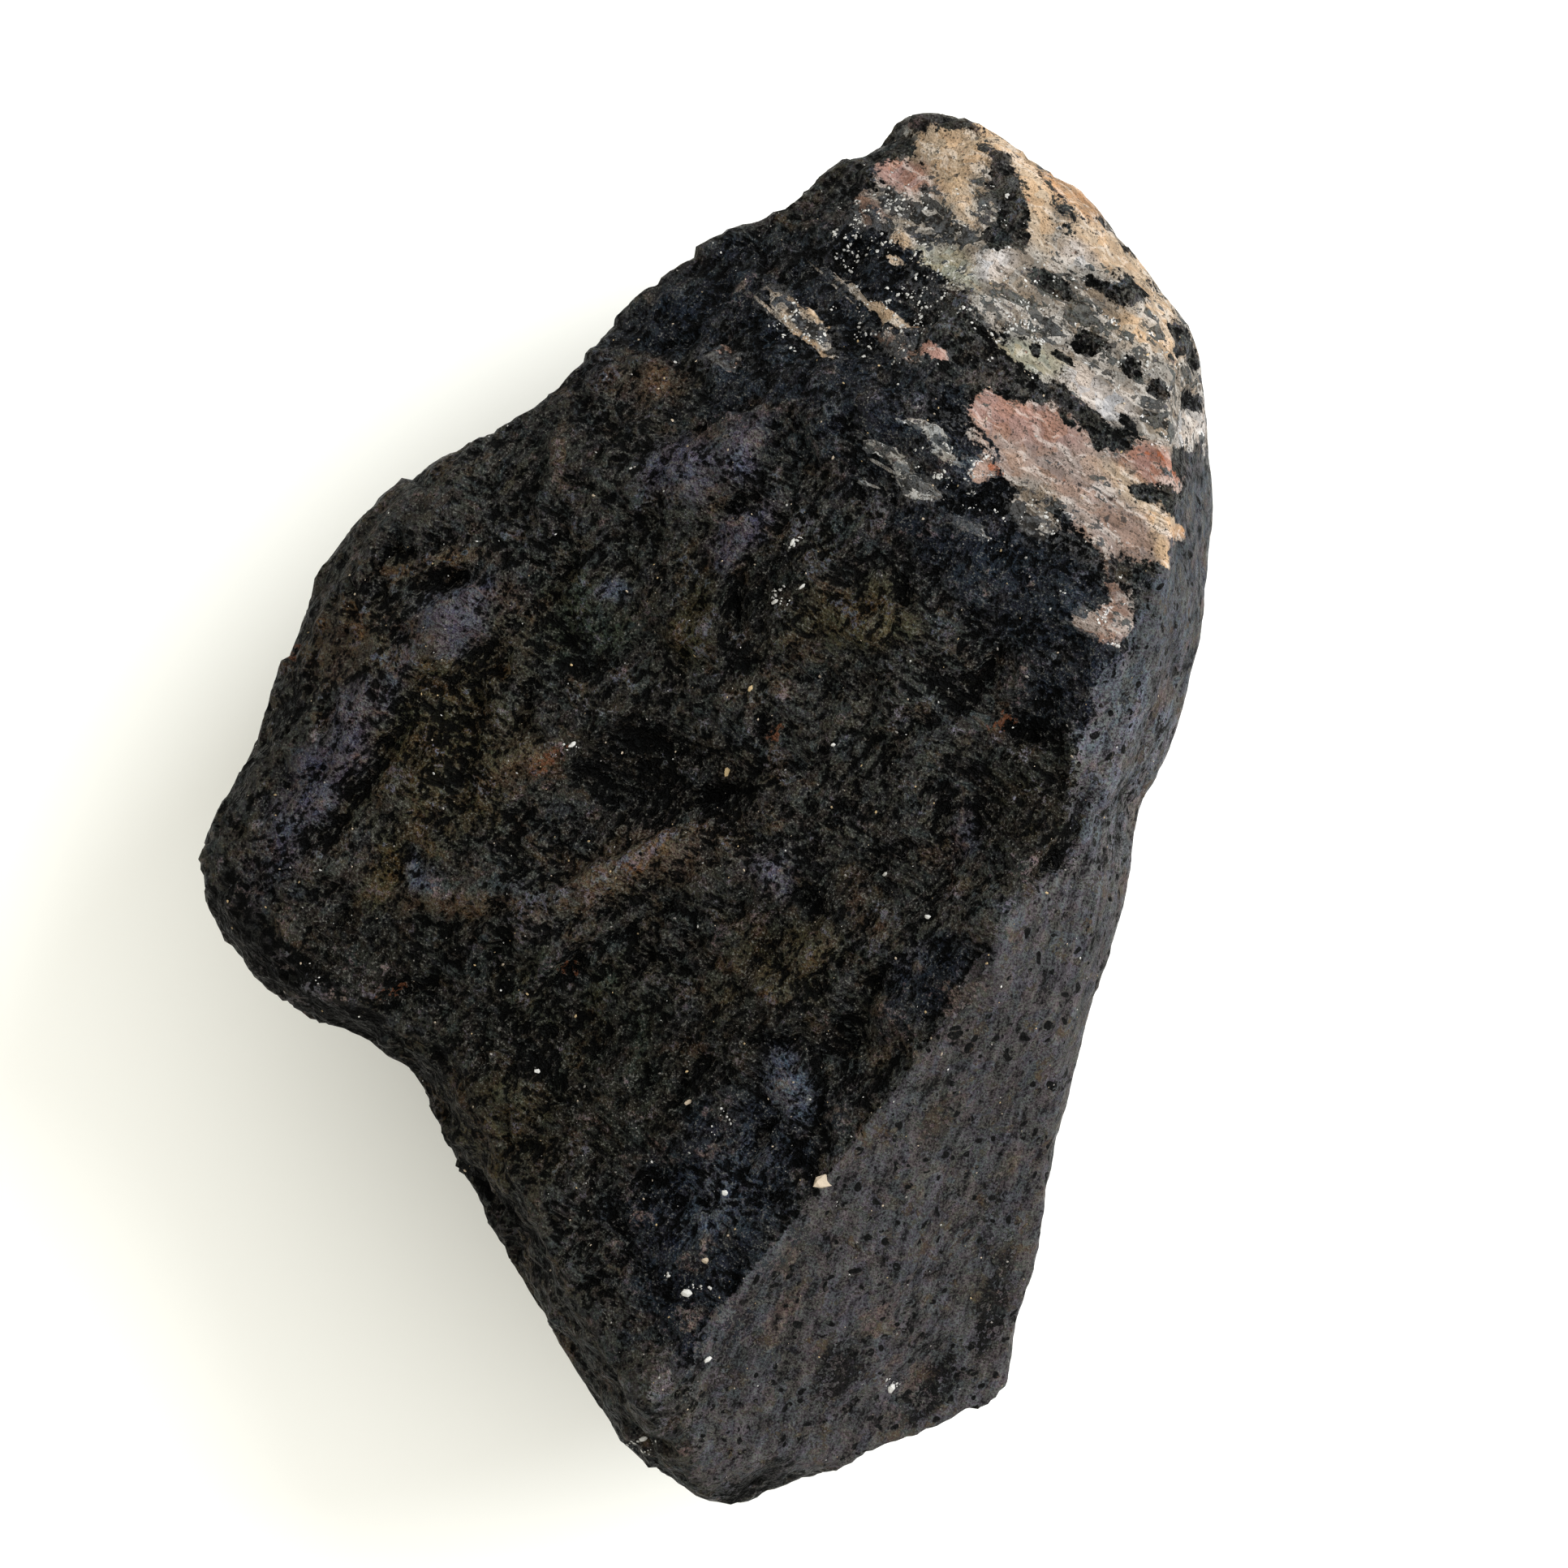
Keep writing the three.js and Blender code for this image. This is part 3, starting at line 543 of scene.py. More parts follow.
class Value:  # one output of a node, so that shader maths reads as an expression
    def __init__(self, shop, socket):
        self.shop, self.socket = shop, socket

    def maths(self, operation, *others, swapped=False):
        values = [self, *others]
        if swapped:
            values.reverse()
        return self.shop.node("ShaderNodeMath", {"operation": operation}, dict(enumerate(values)))

    def __add__(self, other):
        return self.maths("ADD", other)

    def __radd__(self, other):
        return self.maths("ADD", other)

    def __sub__(self, other):
        return self.maths("SUBTRACT", other)

    def __rsub__(self, other):
        return self.maths("SUBTRACT", other, swapped=True)

    def __mul__(self, other):
        return self.maths("MULTIPLY", other)

    def __rmul__(self, other):
        return self.maths("MULTIPLY", other)

    def highest(self, other):
        return self.maths("MAXIMUM", other)

    def lowest(self, other):
        return self.maths("MINIMUM", other)

    def above(self, limit):  # 1 over the limit, 0 under it
        return self.maths("GREATER_THAN", limit)

    def step(self, low, high, start=0.0, end=1.0):  # a smooth step from start to end
        settings = {"interpolation_type": "SMOOTHSTEP"}
        values = {"Value": self, "From Min": low, "From Max": high, "To Min": start, "To Max": end}
        return self.shop.node("ShaderNodeMapRange", settings, values)


class MaterialShop:
    def __init__(self, name):
        self.material = bpy.data.materials.new(name)
        self.material.use_nodes = True
        self.tree = self.material.node_tree
        self.tree.nodes.clear()

    def node(self, kind, settings=None, values=None, output=0):
        made = self.tree.nodes.new(kind)
        for key, setting in (settings or {}).items():
            setattr(made, key, setting)
        for key, value in (values or {}).items():
            socket = made.inputs[key]
            if isinstance(value, Value):
                self.tree.links.new(value.socket, socket)
            elif socket.type == "RGBA" and len(value) == 3:
                socket.default_value = (*value, 1)
            else:
                socket.default_value = value
        return None if output is None else Value(self, made.outputs[output])

    def place(self):  # the surface's own place, in millimetres
        spot = self.node("ShaderNodeTexCoord", output="Object")
        return self.scaled(spot, 1 / mm)

    def stretched(self, place, turn, scale):
        values = {"Vector": place, "Rotation": tuple(math.radians(t) for t in turn), "Scale": scale}
        return self.node("ShaderNodeMapping", {"vector_type": "TEXTURE"}, values)

    def noise(self, place, scale, detail=4.0, roughness=0.55):
        values = {"Vector": place, "Scale": scale, "Detail": detail, "Roughness": roughness}
        return self.node("ShaderNodeTexNoise", {"normalize": True}, values)

    def cells(self, place, scale):  # distance to the nearest cell, and two chances of its own
        values = {"Vector": place, "Scale": scale}
        near = self.node("ShaderNodeTexVoronoi", {"feature": "F1"}, values, "Distance")
        colour = Value(self, near.socket.node.outputs["Color"])
        first = self.node("ShaderNodeSeparateColor", None, {"Color": colour}, "Red")
        return near, first, Value(self, first.socket.node.outputs["Green"])

    def field(self, name):
        return self.node("ShaderNodeAttribute", {"attribute_name": name}, output="Fac")

    def tint(self, name):
        return self.node("ShaderNodeAttribute", {"attribute_name": name}, output="Color")

    def mix(self, first, second, share):
        settings = {"data_type": "RGBA", "clamp_factor": True}
        return self.node("ShaderNodeMix", settings, {0: share, 6: first, 7: second}, 2)

    def painted(self, colour, paint, share):  # a paint is a colour and how well it covers
        tint, cover = paint
        return self.mix(colour, tint, share * cover)

    def scaled(self, colour, amount):
        return self.node("ShaderNodeVectorMath", {"operation": "SCALE"}, {0: colour, "Scale": amount})

    def tinted(self, colour, tint):
        return self.node("ShaderNodeVectorMath", {"operation": "MULTIPLY"}, {0: colour, 1: tint})

    def stroke(self, place, x, y, long, wide, turn):  # 0 at the middle of an oval, 1 on its rim
        spread = (eye["high"] - eye["faceHigh"]) / (eye["high"] - eye["focusHigh"])
        at = [over + (seen - over) * spread for over, seen in zip(eye["over"], (x, y))]
        endless = 1000
        values = {
            "Vector": place, "Location": (*at, 0), "Rotation": (0, 0, math.radians(turn)),
            "Scale": (long, wide, endless),
        }
        local = self.node("ShaderNodeMapping", {"vector_type": "TEXTURE"}, values)
        return self.node("ShaderNodeVectorMath", {"operation": "LENGTH"}, {0: local}, "Value")

    def strokes(self, place, spots, ragged):
        inner, outer = 0.75, 1.1
        share = None
        for spot in spots:
            inside = (self.stroke(place, *spot) + ragged).step(inner, outer, 1, 0)
            share = inside if share is None else share.highest(inside)
        return share

    def ragged(self, place, size, amount):  # the same place, pushed about by noise
        values = {"Vector": place, "Scale": 1 / size, "Detail": 1.0}
        push = self.scaled(self.node("ShaderNodeTexNoise", {"normalize": False}, values, "Color"), amount)
        return self.node("ShaderNodeVectorMath", {"operation": "ADD"}, {0: place, 1: push})

    def finish(self, colour, roughness, height=None, bump=None, **constants):
        values = {"Base Color": colour, "Roughness": roughness}
        values.update({key.replace("_", " "): value for key, value in constants.items()})
        if height is not None:
            strength, distance = bump
            relief = {"Strength": strength, "Distance": distance * mm, "Height": height}
            values["Normal"] = self.node("ShaderNodeBump", None, relief)
        shader = self.node("ShaderNodeBsdfPrincipled", None, values)
        self.node("ShaderNodeOutputMaterial", None, {"Surface": shader}, output=None)
        return self.material


stoneSkin = {
    "foliation": -34,       # compass turn of the bands in the feldspar end
    "needles": (52, -28),   # and of the two felts of needles in the black
    "scratchTurn": -106,    # and of the scratches on the worn faces
    "sheen": 0.03,
    "ior": 1.55,
    "relief": (1.0, 1.0),   # strength, millimetres
    "paleSmooth": 0.6,      # how much smoother the feldspar breaks
    # two casts of a colour, which it wavers between
    "paleCasts": ((0.93, 1.00, 1.08), (1.08, 0.99, 0.89)),
    "blackCasts": ((0.84, 1.00, 1.16), (1.20, 0.98, 0.80)),
    "mossCasts": ((1.07, 0.94, 1.05), (0.93, 1.06, 0.94)),
    # the feldspar and quartz end: colours and how well each covers
    "glass": ((0.20, 0.190, 0.175), 0.45),
    "milkStreaks": ((0.44, 0.41, 0.38), 0.36),
    "saltGrains": ((0.52, 0.51, 0.50), 0.8),
    "paleRust": ((0.19, 0.055, 0.022), 0.8),
    "pepperGrains": ((0.026, 0.022, 0.019), 0.8),
    "clefts": ((0.050, 0.036, 0.026), 0.55),
    "paleLight": 0.77,      # how light the whole end is
    # the broken black: the walls' two greys, what warms and cools it, and what shows on it
    "wallGreys": ((0.0100, 0.0108, 0.0120), (0.0165, 0.0138, 0.0098)),
    "warmth": ((1.70, 1.34, 1.05), 0.75),
    "coolness": ((1.42, 1.46, 1.68), 0.75),
    "glints": ((0.085, 0.080, 0.072), 0.65),
    "wisps": ((0.10, 0.10, 0.10), 0.22),
    "blackRust": ((0.075, 0.027, 0.012), 0.75),
    "crackDark": 0.92,
    # how much the soot and the painted shade darken the colour
    "grimeDark": 0.92,
    # the worn faces: their grey in front, in the middle and at the far end
    "wornGreys": ((0.0296, 0.0276, 0.0294), (0.0450, 0.0448, 0.0505), (0.0290, 0.0300, 0.0345)),
    "wornGreyTurns": ((-8, 1), (4, 9)),  # y where the one gives way to the next
    "wornStain": ((0.046, 0.033, 0.028), 0.6),
    # the black of the pinholes, painted as their shade, and of dark specks
    "shadedPinholesAndSpecks": (0.0015, 0.0015, 0.0015),
    # thin pale needles, as x, y, half length, half width, turn
    "paleStrokes": [
        (3.6, 25.6, 1.9, 0.10, -42), (4.6, 24.8, 2.2, 0.12, -38), (6.6, 27.2, 1.6, 0.08, -45),
        (8.2, 26.3, 2.0, 0.10, -40), (9.6, 25.5, 1.2, 0.20, -36), (23.6, 13.6, 1.2, 0.11, -74),
        (9.2, 17.6, 0.9, 0.10, -30), (10.4, 16.6, 0.9, 0.09, -34), (11.0, 30.9, 0.8, 0.09, -40),
    ],
    "cracks": [
        (-14.6, 1.7, 0.95, 0.10, 72), (-11.7, 5.3, 0.5, 0.09, 20), (-9.8, 4.8, 1.25, 0.11, 84),
        (-10.5, -6.6, 1.3, 0.12, -48), (10.6, 11.5, 1.4, 0.12, -62), (2.0, 0.9, 3.0, 0.16, 18),
        (7.6, -13.0, 1.7, 0.14, 62), (-15.0, -13.0, 1.5, 0.1, -40), (17.6, 3.8, 1.4, 0.14, 20),
        (1.0, 7.0, 1.3, 0.10, 60), (-3.0, 15.5, 1.8, 0.12, 40), (5.6, -3.8, 1.9, 0.12, 30),
    ],
}


def stoneGrain(shop):  # the fields and the fine patterns that every part of the stone is made of
    skin = stoneSkin
    place = shop.place()
    g = SimpleNamespace(place=place)
    g.pale, g.top = shop.field("paleReach"), shop.field("topShare")
    # painted highlight on crests and painted shade in hollows, from the relief
    g.raised = shop.field("raised") + shop.field("crestShade") * 0.6
    g.worn, g.soot, g.rust = shop.field("worn"), shop.field("soot"), shop.field("rust")
    g.mixedDark = shop.field("mixedDark")
    g.loose = shop.ragged(place, 1.1, 0.35)
    g.banded = shop.stretched(g.loose, (0, 0, skin["foliation"]), (3.0, 1, 1.6))
    scratched = shop.stretched(place, (0, 0, skin["scratchTurn"]), (5, 1, 2.2))
    felt = [shop.stretched(place, (20, 15, turn), (2.8, 1, 1)) for turn in skin["needles"]]

    g.broad = shop.noise(place, 0.16, 1)
    g.middle = shop.noise(g.loose, 0.6, 3, 0.6) - 0.5
    g.bands = shop.noise(g.banded, 0.9, 4, 0.62) - 0.5
    g.crumbs = shop.noise(place, 2.9, 2, 0.65) - 0.5
    g.flecks = shop.noise(place, 7.5, 1, 0.6) - 0.5
    g.lines = shop.noise(scratched, 2.6, 3, 0.65) - 0.5
    g.patchy = shop.noise(g.loose, 0.24, 1) - 0.5
    # one felt or the other, with a hard change that stays off the feldspar
    feltShare = (shop.noise(place, 0.3, 0) - g.pale.step(-0.6, -0.2)).above(0.5)
    felted = shop.mix(felt[1], felt[0], feltShare)
    g.needles = shop.noise(felted, 2.6, 2, 0.6) - 0.5
    g.near, g.chance, g.hue = shop.cells(g.loose, 1.4)
    g.gap, g.bright, g.warmth = shop.cells(felted, 2.1)
    g.paleCast = shop.mix(*skin["paleCasts"], g.hue)
    g.mossCast = shop.mix(*skin["mossCasts"], g.bright * 0.6 + g.flecks * 3 + 0.2)
    # soot and painted shade, squared
    g.grime = g.soot * g.soot
    ragged = g.bands * 0.9 + g.middle * 2.0 + g.crumbs * 2.4 + g.needles * 2.2
    g.blotches = (ragged + g.soot * 0.60 - 0.26).step(0, 0.12) * g.worn
    return g


def paleEnd(shop, g):  # feldspar and quartz, with ragged edges along the bands: colour, share
    skin = stoneSkin
    edge = g.pale + g.bands * 2.4 + g.crumbs * 1.4 + g.flecks * 0.4 + g.needles * 0.8
    strokes = shop.strokes(g.place, skin["paleStrokes"], g.crumbs * 1.6) * g.top
    share = edge.step(-0.08, 0.12).highest(strokes * 0.85)
    chunky = g.bands * 2.0 + g.crumbs * 1.4 + g.needles * 1.2 + (g.bright - 0.5) * 0.75
    islands = (chunky + g.mixedDark * 0.98 - 0.74).step(-0.05, 0.06)
    dots = (g.near - g.chance * 0.22).step(-0.03, 0.06, 1, 0)
    dots = dots * (g.chance + g.mixedDark * 0.3 - 0.81).step(0, 0.05)
    share = share * (1 - islands * 0.94) * (1 - dots * 0.8)

    stripes = shop.noise(shop.stretched(g.loose, (0, 0, skin["foliation"]), (5.0, 1, 2)), 3.2, 2) - 0.5
    facet = shop.cells(g.banded, 0.85)[1] - 0.5
    grainy = facet * 0.42 + (g.bright - 0.5) * 0.26 + g.middle * 1.2 + stripes * 1.6
    # the relief's painted highlight and painted shade lighten and darken the feldspar
    grainy = grainy + g.crumbs * 0.3 + g.raised * 0.8
    grainy = (grainy * (g.mixedDark * 0.6 + 0.55) + 0.90) * skin["paleLight"]
    colour = shop.tinted(shop.scaled(shop.tint("mineralTint"), grainy), g.paleCast)
    glassy = (g.bands + facet * 0.25).step(-0.03, 0.06) * g.mixedDark.step(0.10, 0.6)
    colour = shop.painted(colour, skin["glass"], glassy)
    colour = shop.painted(colour, skin["milkStreaks"], (stripes + g.bands * 0.8 - 0.07).step(-0.06, 0.12))
    salt = (g.bright + g.crumbs * 1.5 + g.mixedDark * 0.10 - 0.92).step(0, 0.06)
    colour = shop.painted(colour, skin["saltGrains"], salt * g.mixedDark.step(0.2, 0.6))
    colour = shop.painted(colour, skin["paleRust"], (g.rust + g.crumbs * 3.0).step(0.5, 0.9))
    pepper = (g.flecks * 1.3 + g.crumbs * 0.8 + g.mixedDark * 0.11 - 0.20).step(0, 0.05)
    colour = shop.painted(colour, skin["pepperGrains"], pepper)
    crackled = (g.middle + g.crumbs * 0.5 + g.mixedDark * 0.05 - 0.03).step(0, 0.06)
    cleft = (g.needles * g.needles).step(0.0, 0.0014, 1, 0) * crackled
    return shop.painted(colour, skin["clefts"], cleft), share


def brokenBlack(shop, g):  # tourmaline: stained patches pocked with pits painted black as their shade, between felted needles
    skin = stoneSkin
    wall = shop.mix(*skin["wallGreys"], (g.broad - 0.5).step(-0.05, 0.12))
    ground = shop.mix(wall, shop.tint("rockTint"), g.top)
    plain = (1, 1, 1)
    warm = shop.painted(plain, skin["warmth"], (g.middle + g.bands * 0.6 - 0.07).step(0, 0.08))
    cool = shop.painted(plain, skin["coolness"], (g.middle * -1.0 + g.bands * 0.7 - 0.08).step(0, 0.08))
    cast = shop.mix(*skin["blackCasts"], (g.warmth + g.hue) * 0.5 + g.bands)
    for tint in (warm, cool, cast, g.mossCast):
        ground = shop.tinted(ground, tint)

    shadedPits = g.middle * 0.8 + g.needles * 1.5 + g.crumbs * 1.6 + g.patchy * 0.8 + g.raised * 0.5
    shadedPits = shadedPits - g.gap * 0.35 - g.grime * 0.36 - g.blotches * 0.15
    clear = (shadedPits + 0.240).step(-0.16, 0.11)  # 0 in the pits, painted black as their shade, 1 between them
    # the black's lightness, with the relief's painted highlight and painted shade in it
    light = 0.86 + g.bright * 0.8 + g.needles * 2.8 + g.flecks * 4.3
    light = light + g.crumbs * 2.9 + g.raised * 2.2 + g.middle * 1.6
    colour = shop.scaled(ground, light.highest(0.25) * (clear * 0.79 + 0.08))
    glints = (g.flecks * 1.2 + g.needles * 0.5 - 0.17).step(0, 0.05)
    colour = shop.painted(colour, skin["glints"], glints * clear)
    haze = g.pale.step(-2.6, -0.2) * g.top  # near the feldspar
    colour = shop.painted(colour, skin["wisps"], (g.bands * 1.2 + g.crumbs - 0.04).step(0, 0.09) * haze)
    rusty = (g.rust + g.crumbs * 4.0 + g.needles * 3 - 0.75).step(0, 0.3) * g.rust.step(0.05, 0.4)
    colour = shop.painted(colour, skin["blackRust"], rusty * clear)
    cracks = shop.strokes(g.loose, skin["cracks"], g.crumbs * 1.8) * g.top
    return shop.scaled(colour, 1 - cracks * skin["crackDark"])


def wornGrey(shop, g):  # finely scratched grey with pinholes painted black as their shade: colour, share
    skin = stoneSkin
    edge = g.worn + g.crumbs * 2.2 + g.middle * 2.2 + g.raised * 0.6
    share = edge.step(0.30, 0.60) * (1 - g.blotches * 0.85)
    farther = shop.node("ShaderNodeSeparateXYZ", None, {"Vector": g.place}, "Y")
    front, halfway, far = skin["wornGreys"]
    first, second = skin["wornGreyTurns"]
    tint = shop.mix(shop.mix(front, halfway, farther.step(*first)), far, farther.step(*second))
    tint = shop.painted(tint, skin["wornStain"], (g.patchy * 1.5 + g.middle * 1.2 - 0.12).step(0, 0.2))
    tint = shop.tinted(shop.tinted(tint, g.paleCast), g.mossCast)
    # the grey's lightness, with the relief's painted highlight and painted shade in it
    light = 1.06 + g.lines * 3.8 + g.flecks * 3.2 + g.middle * 2.2
    light = light + g.needles * 2.6 + g.crumbs * 1.8 + g.raised * 1.6
    colour = shop.scaled(tint, light.highest(0.15))
    # pinholes painted black as their shade
    shadedHoles = (g.near - g.chance * 0.37).step(-0.02, 0.04, 1, 0)
    shadedHoles = shadedHoles * (g.chance + g.middle * 1.8 - 0.42).step(0, 0.05)
    specks = (g.flecks + g.crumbs * 0.9 + g.needles * 1.0 + g.blotches * 0.16 - 0.20).step(0, 0.05)
    return shop.mix(colour, skin["shadedPinholesAndSpecks"], shadedHoles.highest(specks * 0.93)), share


def stoneMaterial():
    skin = stoneSkin
    shop = MaterialShop("roughTourmaline")
    g = stoneGrain(shop)
    paleColour, paleShare = paleEnd(shop, g)
    wornColour, wornShare = wornGrey(shop, g)
    colour = shop.mix(brokenBlack(shop, g), wornColour, wornShare)
    # soot and painted shade darken the colour, off the worn faces
    colour = shop.scaled(colour, 1 - g.grime * (1 - wornShare) * skin["grimeDark"])
    colour = shop.mix(colour, paleColour, paleShare)
    roughness = (0.56 - g.needles * 1.2 + g.flecks * 0.8).highest(0.25).lowest(0.9)
    coarse = g.needles * 0.55 + g.crumbs * 0.60 + g.flecks * 0.16
    smooth = g.flecks * 0.14 + g.needles * 0.10
    height = coarse + (smooth - coarse) * g.worn.step(0.3, 0.6)
    height = height * (1 - g.pale.step(-0.15, 0.2) * skin["paleSmooth"])
    return shop.finish(
        colour, roughness, height, skin["relief"], IOR=skin["ior"], Specular_IOR_Level=skin["sheen"]
    )


grit = {
    "count": 900,
    "reach": (26, 36),      # half the ground that it falls on, along x and y
    "sizes": (0.024, 0.070),
    "longest": 1.8,         # how many times longer than wide
    "shades": (0.55, 1.15),
    "colours": [(0.36, 0.35, 0.33), (0.30, 0.24, 0.175), (0.16, 0.145, 0.13), (0.28, 0.20, 0.10)],
    "driftSize": 1.5,       # how much larger the grains of a drift may be
    "group": (3, 0.12),     # the grains of a drift lie in groups: how many, how far apart
    "steepest": 0.15,       # none lies where the surface faces up less than this
    "rough": (0.45, 1.7),   # how uneven a grain is: by how much, how finely
    "flat": 0.7,            # its height against its width
    "sunk": -0.5,           # its underside is cut off here
    "seed": 41,
    # the large grains: x, y, half length, half width, turn, colour
    "large": [
        (6.1, -19.3, 0.74, 0.34, 24, 1), (9.6, -30.0, 0.34, 0.26, 60, 0), (-1.0, -25.1, 0.30, 0.22, 0, 0),
        (0.0, -23.4, 0.24, 0.18, 0, 1), (0.1, -28.5, 0.26, 0.20, 0, 0), (-3.2, -32.6, 0.26, 0.2, 0, 0),
        (3.6, 10.7, 0.26, 0.12, 20, 0), (5.0, 11.5, 0.24, 0.10, 50, 0), (4.5, 13.8, 0.26, 0.10, 60, 0),
        (1.1, 1.9, 0.32, 0.15, 84, 3), (2.3, 6.2, 0.20, 0.12, 60, 3), (-6.9, 3.3, 0.26, 0.10, 40, 0),
        (-8.7, -13.6, 0.20, 0.12, 0, 0), (-0.9, -15.2, 0.24, 0.12, 30, 1), (1.0, -19.9, 0.20, 0.18, 0, 0),
        (6.6, 3.3, 0.14, 0.10, 0, 0), (9.3, -3.4, 0.20, 0.13, 20, 0), (11.5, -5.6, 0.18, 0.15, 0, 0),
    ],
    # drifts of small pale grains: x, y, how wide, how many
    "drifts": [
        (8.5, 29.8, 2.4, 46), (9.6, 31.4, 1.6, 20), (11.4, 26.2, 2.6, 42), (16.4, 25.6, 2.6, 36),
        (4.8, 25.0, 1.8, 18), (8.6, 25.4, 1.8, 14), (12.5, 17.2, 2.6, 22), (16.6, 15.0, 1.6, 10),
        (3.9, 11.0, 0.8, 5), (4.6, 13.8, 0.5, 3), (9.7, -29.8, 0.4, 4), (-0.9, -25.0, 1.2, 4),
        (-3.6, -33.0, 0.9, 6), (20.6, 9.6, 1.6, 6), (-6.9, 3.3, 0.3, 2), (0.4, -15.6, 1.6, 3),
        (22.5, 23.0, 2.4, 16), (14.8, 31.0, 1.6, 8),
    ],
}


def makePebble():  # the corners and faces of one small ball
    bm = bmesh.new()
    bmesh.ops.create_icosphere(bm, subdivisions=1, radius=1.0)
    corners = [v.co.copy() for v in bm.verts]
    faces = [[v.index for v in face.verts] for face in bm.faces]
    bm.free()
    return corners, faces


def placeGrain(corners, stone, seen, halfSizes, turn):  # set down where the eye sees it on the stone
    over = Vector((*eye["over"], eye["high"])) * mm
    focus = Vector((*seen, eye["focusHigh"])) * mm
    hit, normal, _, _ = stone.ray_cast(over, (focus - over).normalized())
    if hit is None or normal.z < grit["steepest"]:
        return []
    t = math.radians(turn)
    across = normal.cross(Vector((math.cos(t), math.sin(t), 0))).normalized()
    lean = Matrix((across.cross(normal), across, normal)).transposed()
    long, wide = halfSizes
    rough, fine = grit["rough"]
    ownShape = hit * 900  # every grain reads the noise somewhere else
    placed = []
    for corner in corners:
        spot = corner * (1 + rough * noise.noise(corner * fine + ownShape))
        local = Vector((spot.x * long, spot.y * wide, max(spot.z, grit["sunk"]) * wide * grit["flat"]))
        placed.append(hit + lean @ local * mm)
    return placed


def scatterSpots():  # x, y and whether it is in a drift
    across, along = grit["reach"]
    spots = [
        (random.uniform(-across, across), random.uniform(-along, along), False) for _ in range(grit["count"])
    ]
    together, apart = grit["group"]
    for x, y, wide, many in grit["drifts"]:
        for _ in range(many):
            x2, y2 = random.gauss(x, wide * 0.5), random.gauss(y, wide * 0.5)
            spots += [
                (x2 + random.gauss(0, apart), y2 + random.gauss(0, apart), True) for _ in range(together)
            ]
    return spots


def pickGrains():  # the place, half sizes, turn and colour of every grain
    random.seed(grit["seed"])
    grains = [
        ((x, y), (long, wide), turn, grit["colours"][colour])
        for x, y, long, wide, turn, colour in grit["large"]
    ]
    low, high = grit["sizes"]
    for x, y, drifted in scatterSpots():
        size = low + (high - low) * random.random() ** 2 * (grit["driftSize"] if drifted else 1.0)
        colour = np.array(grit["colours"][0] if drifted else random.choice(grit["colours"]))
        halfSizes = size * random.uniform(1, grit["longest"]), size
        turn = random.uniform(0, 180)
        grains.append(((x, y), halfSizes, turn, colour * random.uniform(*grit["shades"])))
    return grains


def makeGrit(stone):
    surface = BVHTree.FromObject(stone, bpy.context.evaluated_depsgraph_get())
    corners, pebbleFaces = makePebble()
    verts, faces, colours = [], [], []
    for seen, halfSizes, turn, colour in pickGrains():
        placed = placeGrain(corners, surface, seen, halfSizes, turn)
        if placed:
            faces += [[len(verts) + i for i in face] for face in pebbleFaces]
            verts += placed
            colours += [tuple(colour)] * len(placed)
    mesh = bpy.data.meshes.new("sandAndDust")
    mesh.from_pydata(verts, [], faces)
    writeTint(mesh, "grainTint", np.array(colours))
    grains = bpy.data.objects.new("sandAndDust", mesh)
    bpy.context.scene.collection.objects.link(grains)
    return grains


def gritMaterial():
    shop = MaterialShop("sandGrains")
    crumbs = shop.noise(shop.place(), 6.0, 3)
    colour = shop.scaled(shop.tint("grainTint"), 0.7 + crumbs * 0.6)
    return shop.finish(colour, 0.6 + crumbs * 0.3, crumbs, (0.4, 0.05))


studio = {
    "floorSize": 2.4, "floorColour": (0.90, 0.892, 0.86), "floorRoughness": 0.8,
    "air": ((0.74, 0.73, 0.63), (1.33, 1.33, 1.31)),  # the air's light from -X, from +X
    "airStrength": 1.25,
    "lamps": [  # name, compass turn, height angle, distance mm, size mm, watts, colour
        ("windowPanel", 28, 36, 700, 600, 7.2, (0.92, 0.96, 1.0)),
    ],
    "film": 36,             # millimetres
    "sight": (0.01, 10),    # metres, nearest and farthest
}


def makeFloor():
    bm = bmesh.new()
    bmesh.ops.create_grid(bm, x_segments=8, y_segments=8, size=studio["floorSize"] / 2)
    mesh = bpy.data.meshes.new("paleFloor")
    bm.to_mesh(mesh)
    bm.free()
    floor = bpy.data.objects.new("paleFloor", mesh)
    bpy.context.scene.collection.objects.link(floor)
    shop = MaterialShop("palePaper")
    floor.data.materials.append(shop.finish(studio["floorColour"], studio["floorRoughness"]))


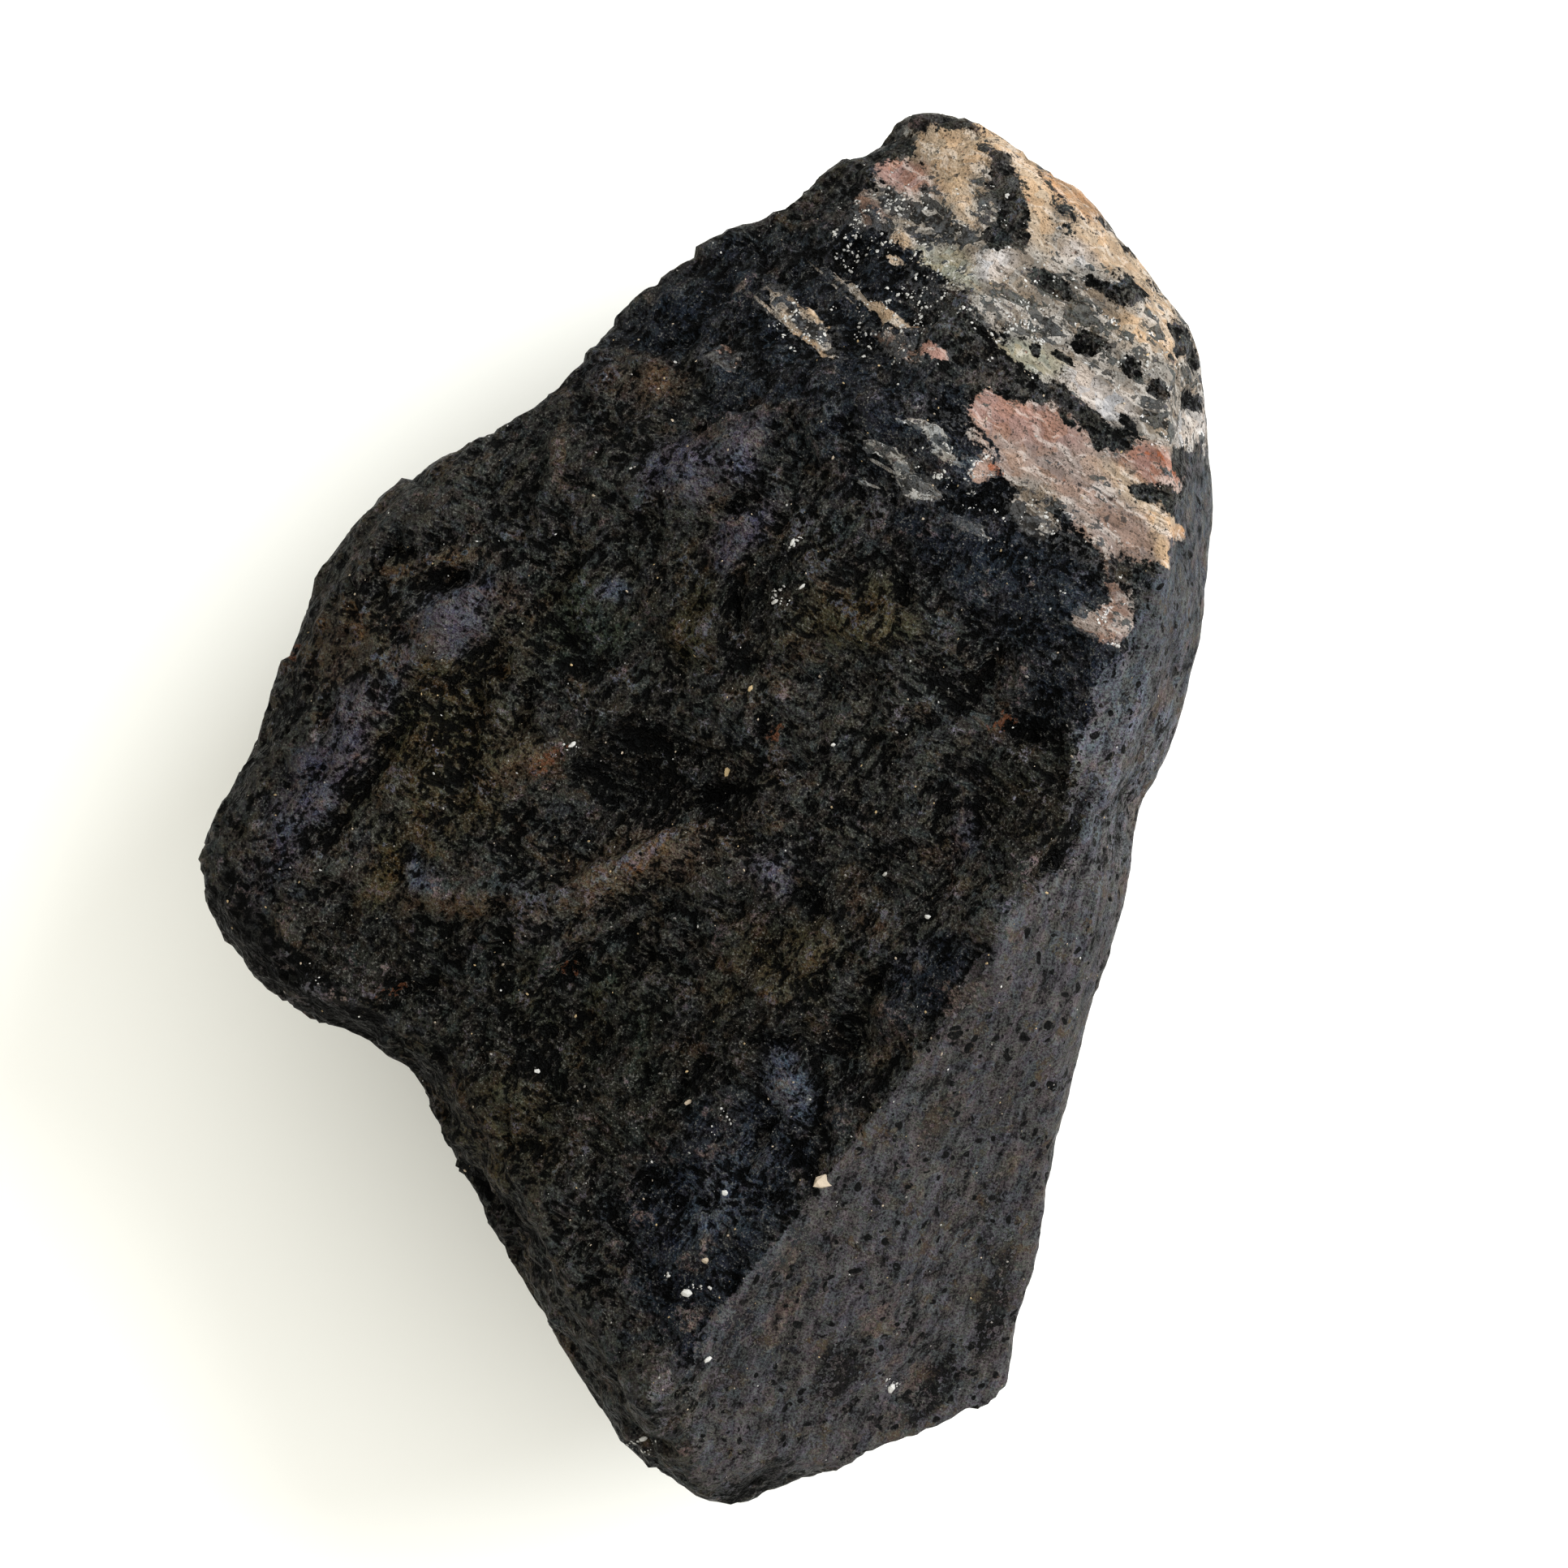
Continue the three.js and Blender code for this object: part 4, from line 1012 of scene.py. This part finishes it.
def makeAir():  # light from all round, which changes from one side to the other
    world = bpy.data.worlds.new("studioAir")
    bpy.context.scene.world = world
    world.use_nodes = True
    tree = world.node_tree
    air = tree.nodes["Background"]
    air.inputs["Strength"].default_value = studio["airStrength"]
    way = tree.nodes.new("ShaderNodeTexCoord").outputs["Generated"]
    apart = tree.nodes.new("ShaderNodeSeparateXYZ")
    share = tree.nodes.new("ShaderNodeMapRange")
    share.inputs["From Min"].default_value = -1
    blend = tree.nodes.new("ShaderNodeMix")
    blend.data_type = "RGBA"
    for socket, colour in zip((blend.inputs[6], blend.inputs[7]), studio["air"]):
        socket.default_value = (*colour, 1)
    tree.links.new(way, apart.inputs[0])
    tree.links.new(apart.outputs["X"], share.inputs["Value"])
    tree.links.new(share.outputs[0], blend.inputs[0])
    tree.links.new(blend.outputs[2], air.inputs["Color"])


def makeLamps():
    for name, turn, rise, distance, size, watts, colour in studio["lamps"]:
        lamp = bpy.data.lights.new(name, "AREA")
        lamp.shape = "DISK"
        lamp.size, lamp.energy, lamp.color = size * mm, watts, colour
        panel = bpy.data.objects.new(name, lamp)
        t, r = math.radians(turn), math.radians(rise)
        away = Vector((math.cos(t) * math.cos(r), math.sin(t) * math.cos(r), math.sin(r)))
        panel.location = away * distance * mm
        panel.rotation_euler = away.to_track_quat("Z", "Y").to_euler()
        bpy.context.scene.collection.objects.link(panel)


def makeCamera():
    lens = bpy.data.cameras.new("aboveEye")
    lens.sensor_width = studio["film"]
    lens.lens = studio["film"] * (eye["high"] - eye["focusHigh"]) / eye["wide"]
    lens.clip_start, lens.clip_end = studio["sight"]
    camera = bpy.data.objects.new("aboveEye", lens)
    camera.location = Vector((*eye["over"], eye["high"])) * mm
    bpy.context.scene.collection.objects.link(camera)
    bpy.context.scene.camera = camera


makeCamera()
makeFloor()
makeAir()
makeLamps()
bpy.context.scene.view_settings.view_transform = "Standard"
print("stage set")

stone = makeStone()
stone.data.materials.append(stoneMaterial())
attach(stone, "root")
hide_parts("tourmaline_stone")
print("stone shaped:", len(stone.data.polygons), "faces")

grains = makeGrit(stone)
grains.data.materials.append(gritMaterial())
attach(grains, "root")
print("sand laid:", len(grains.data.polygons), "faces")
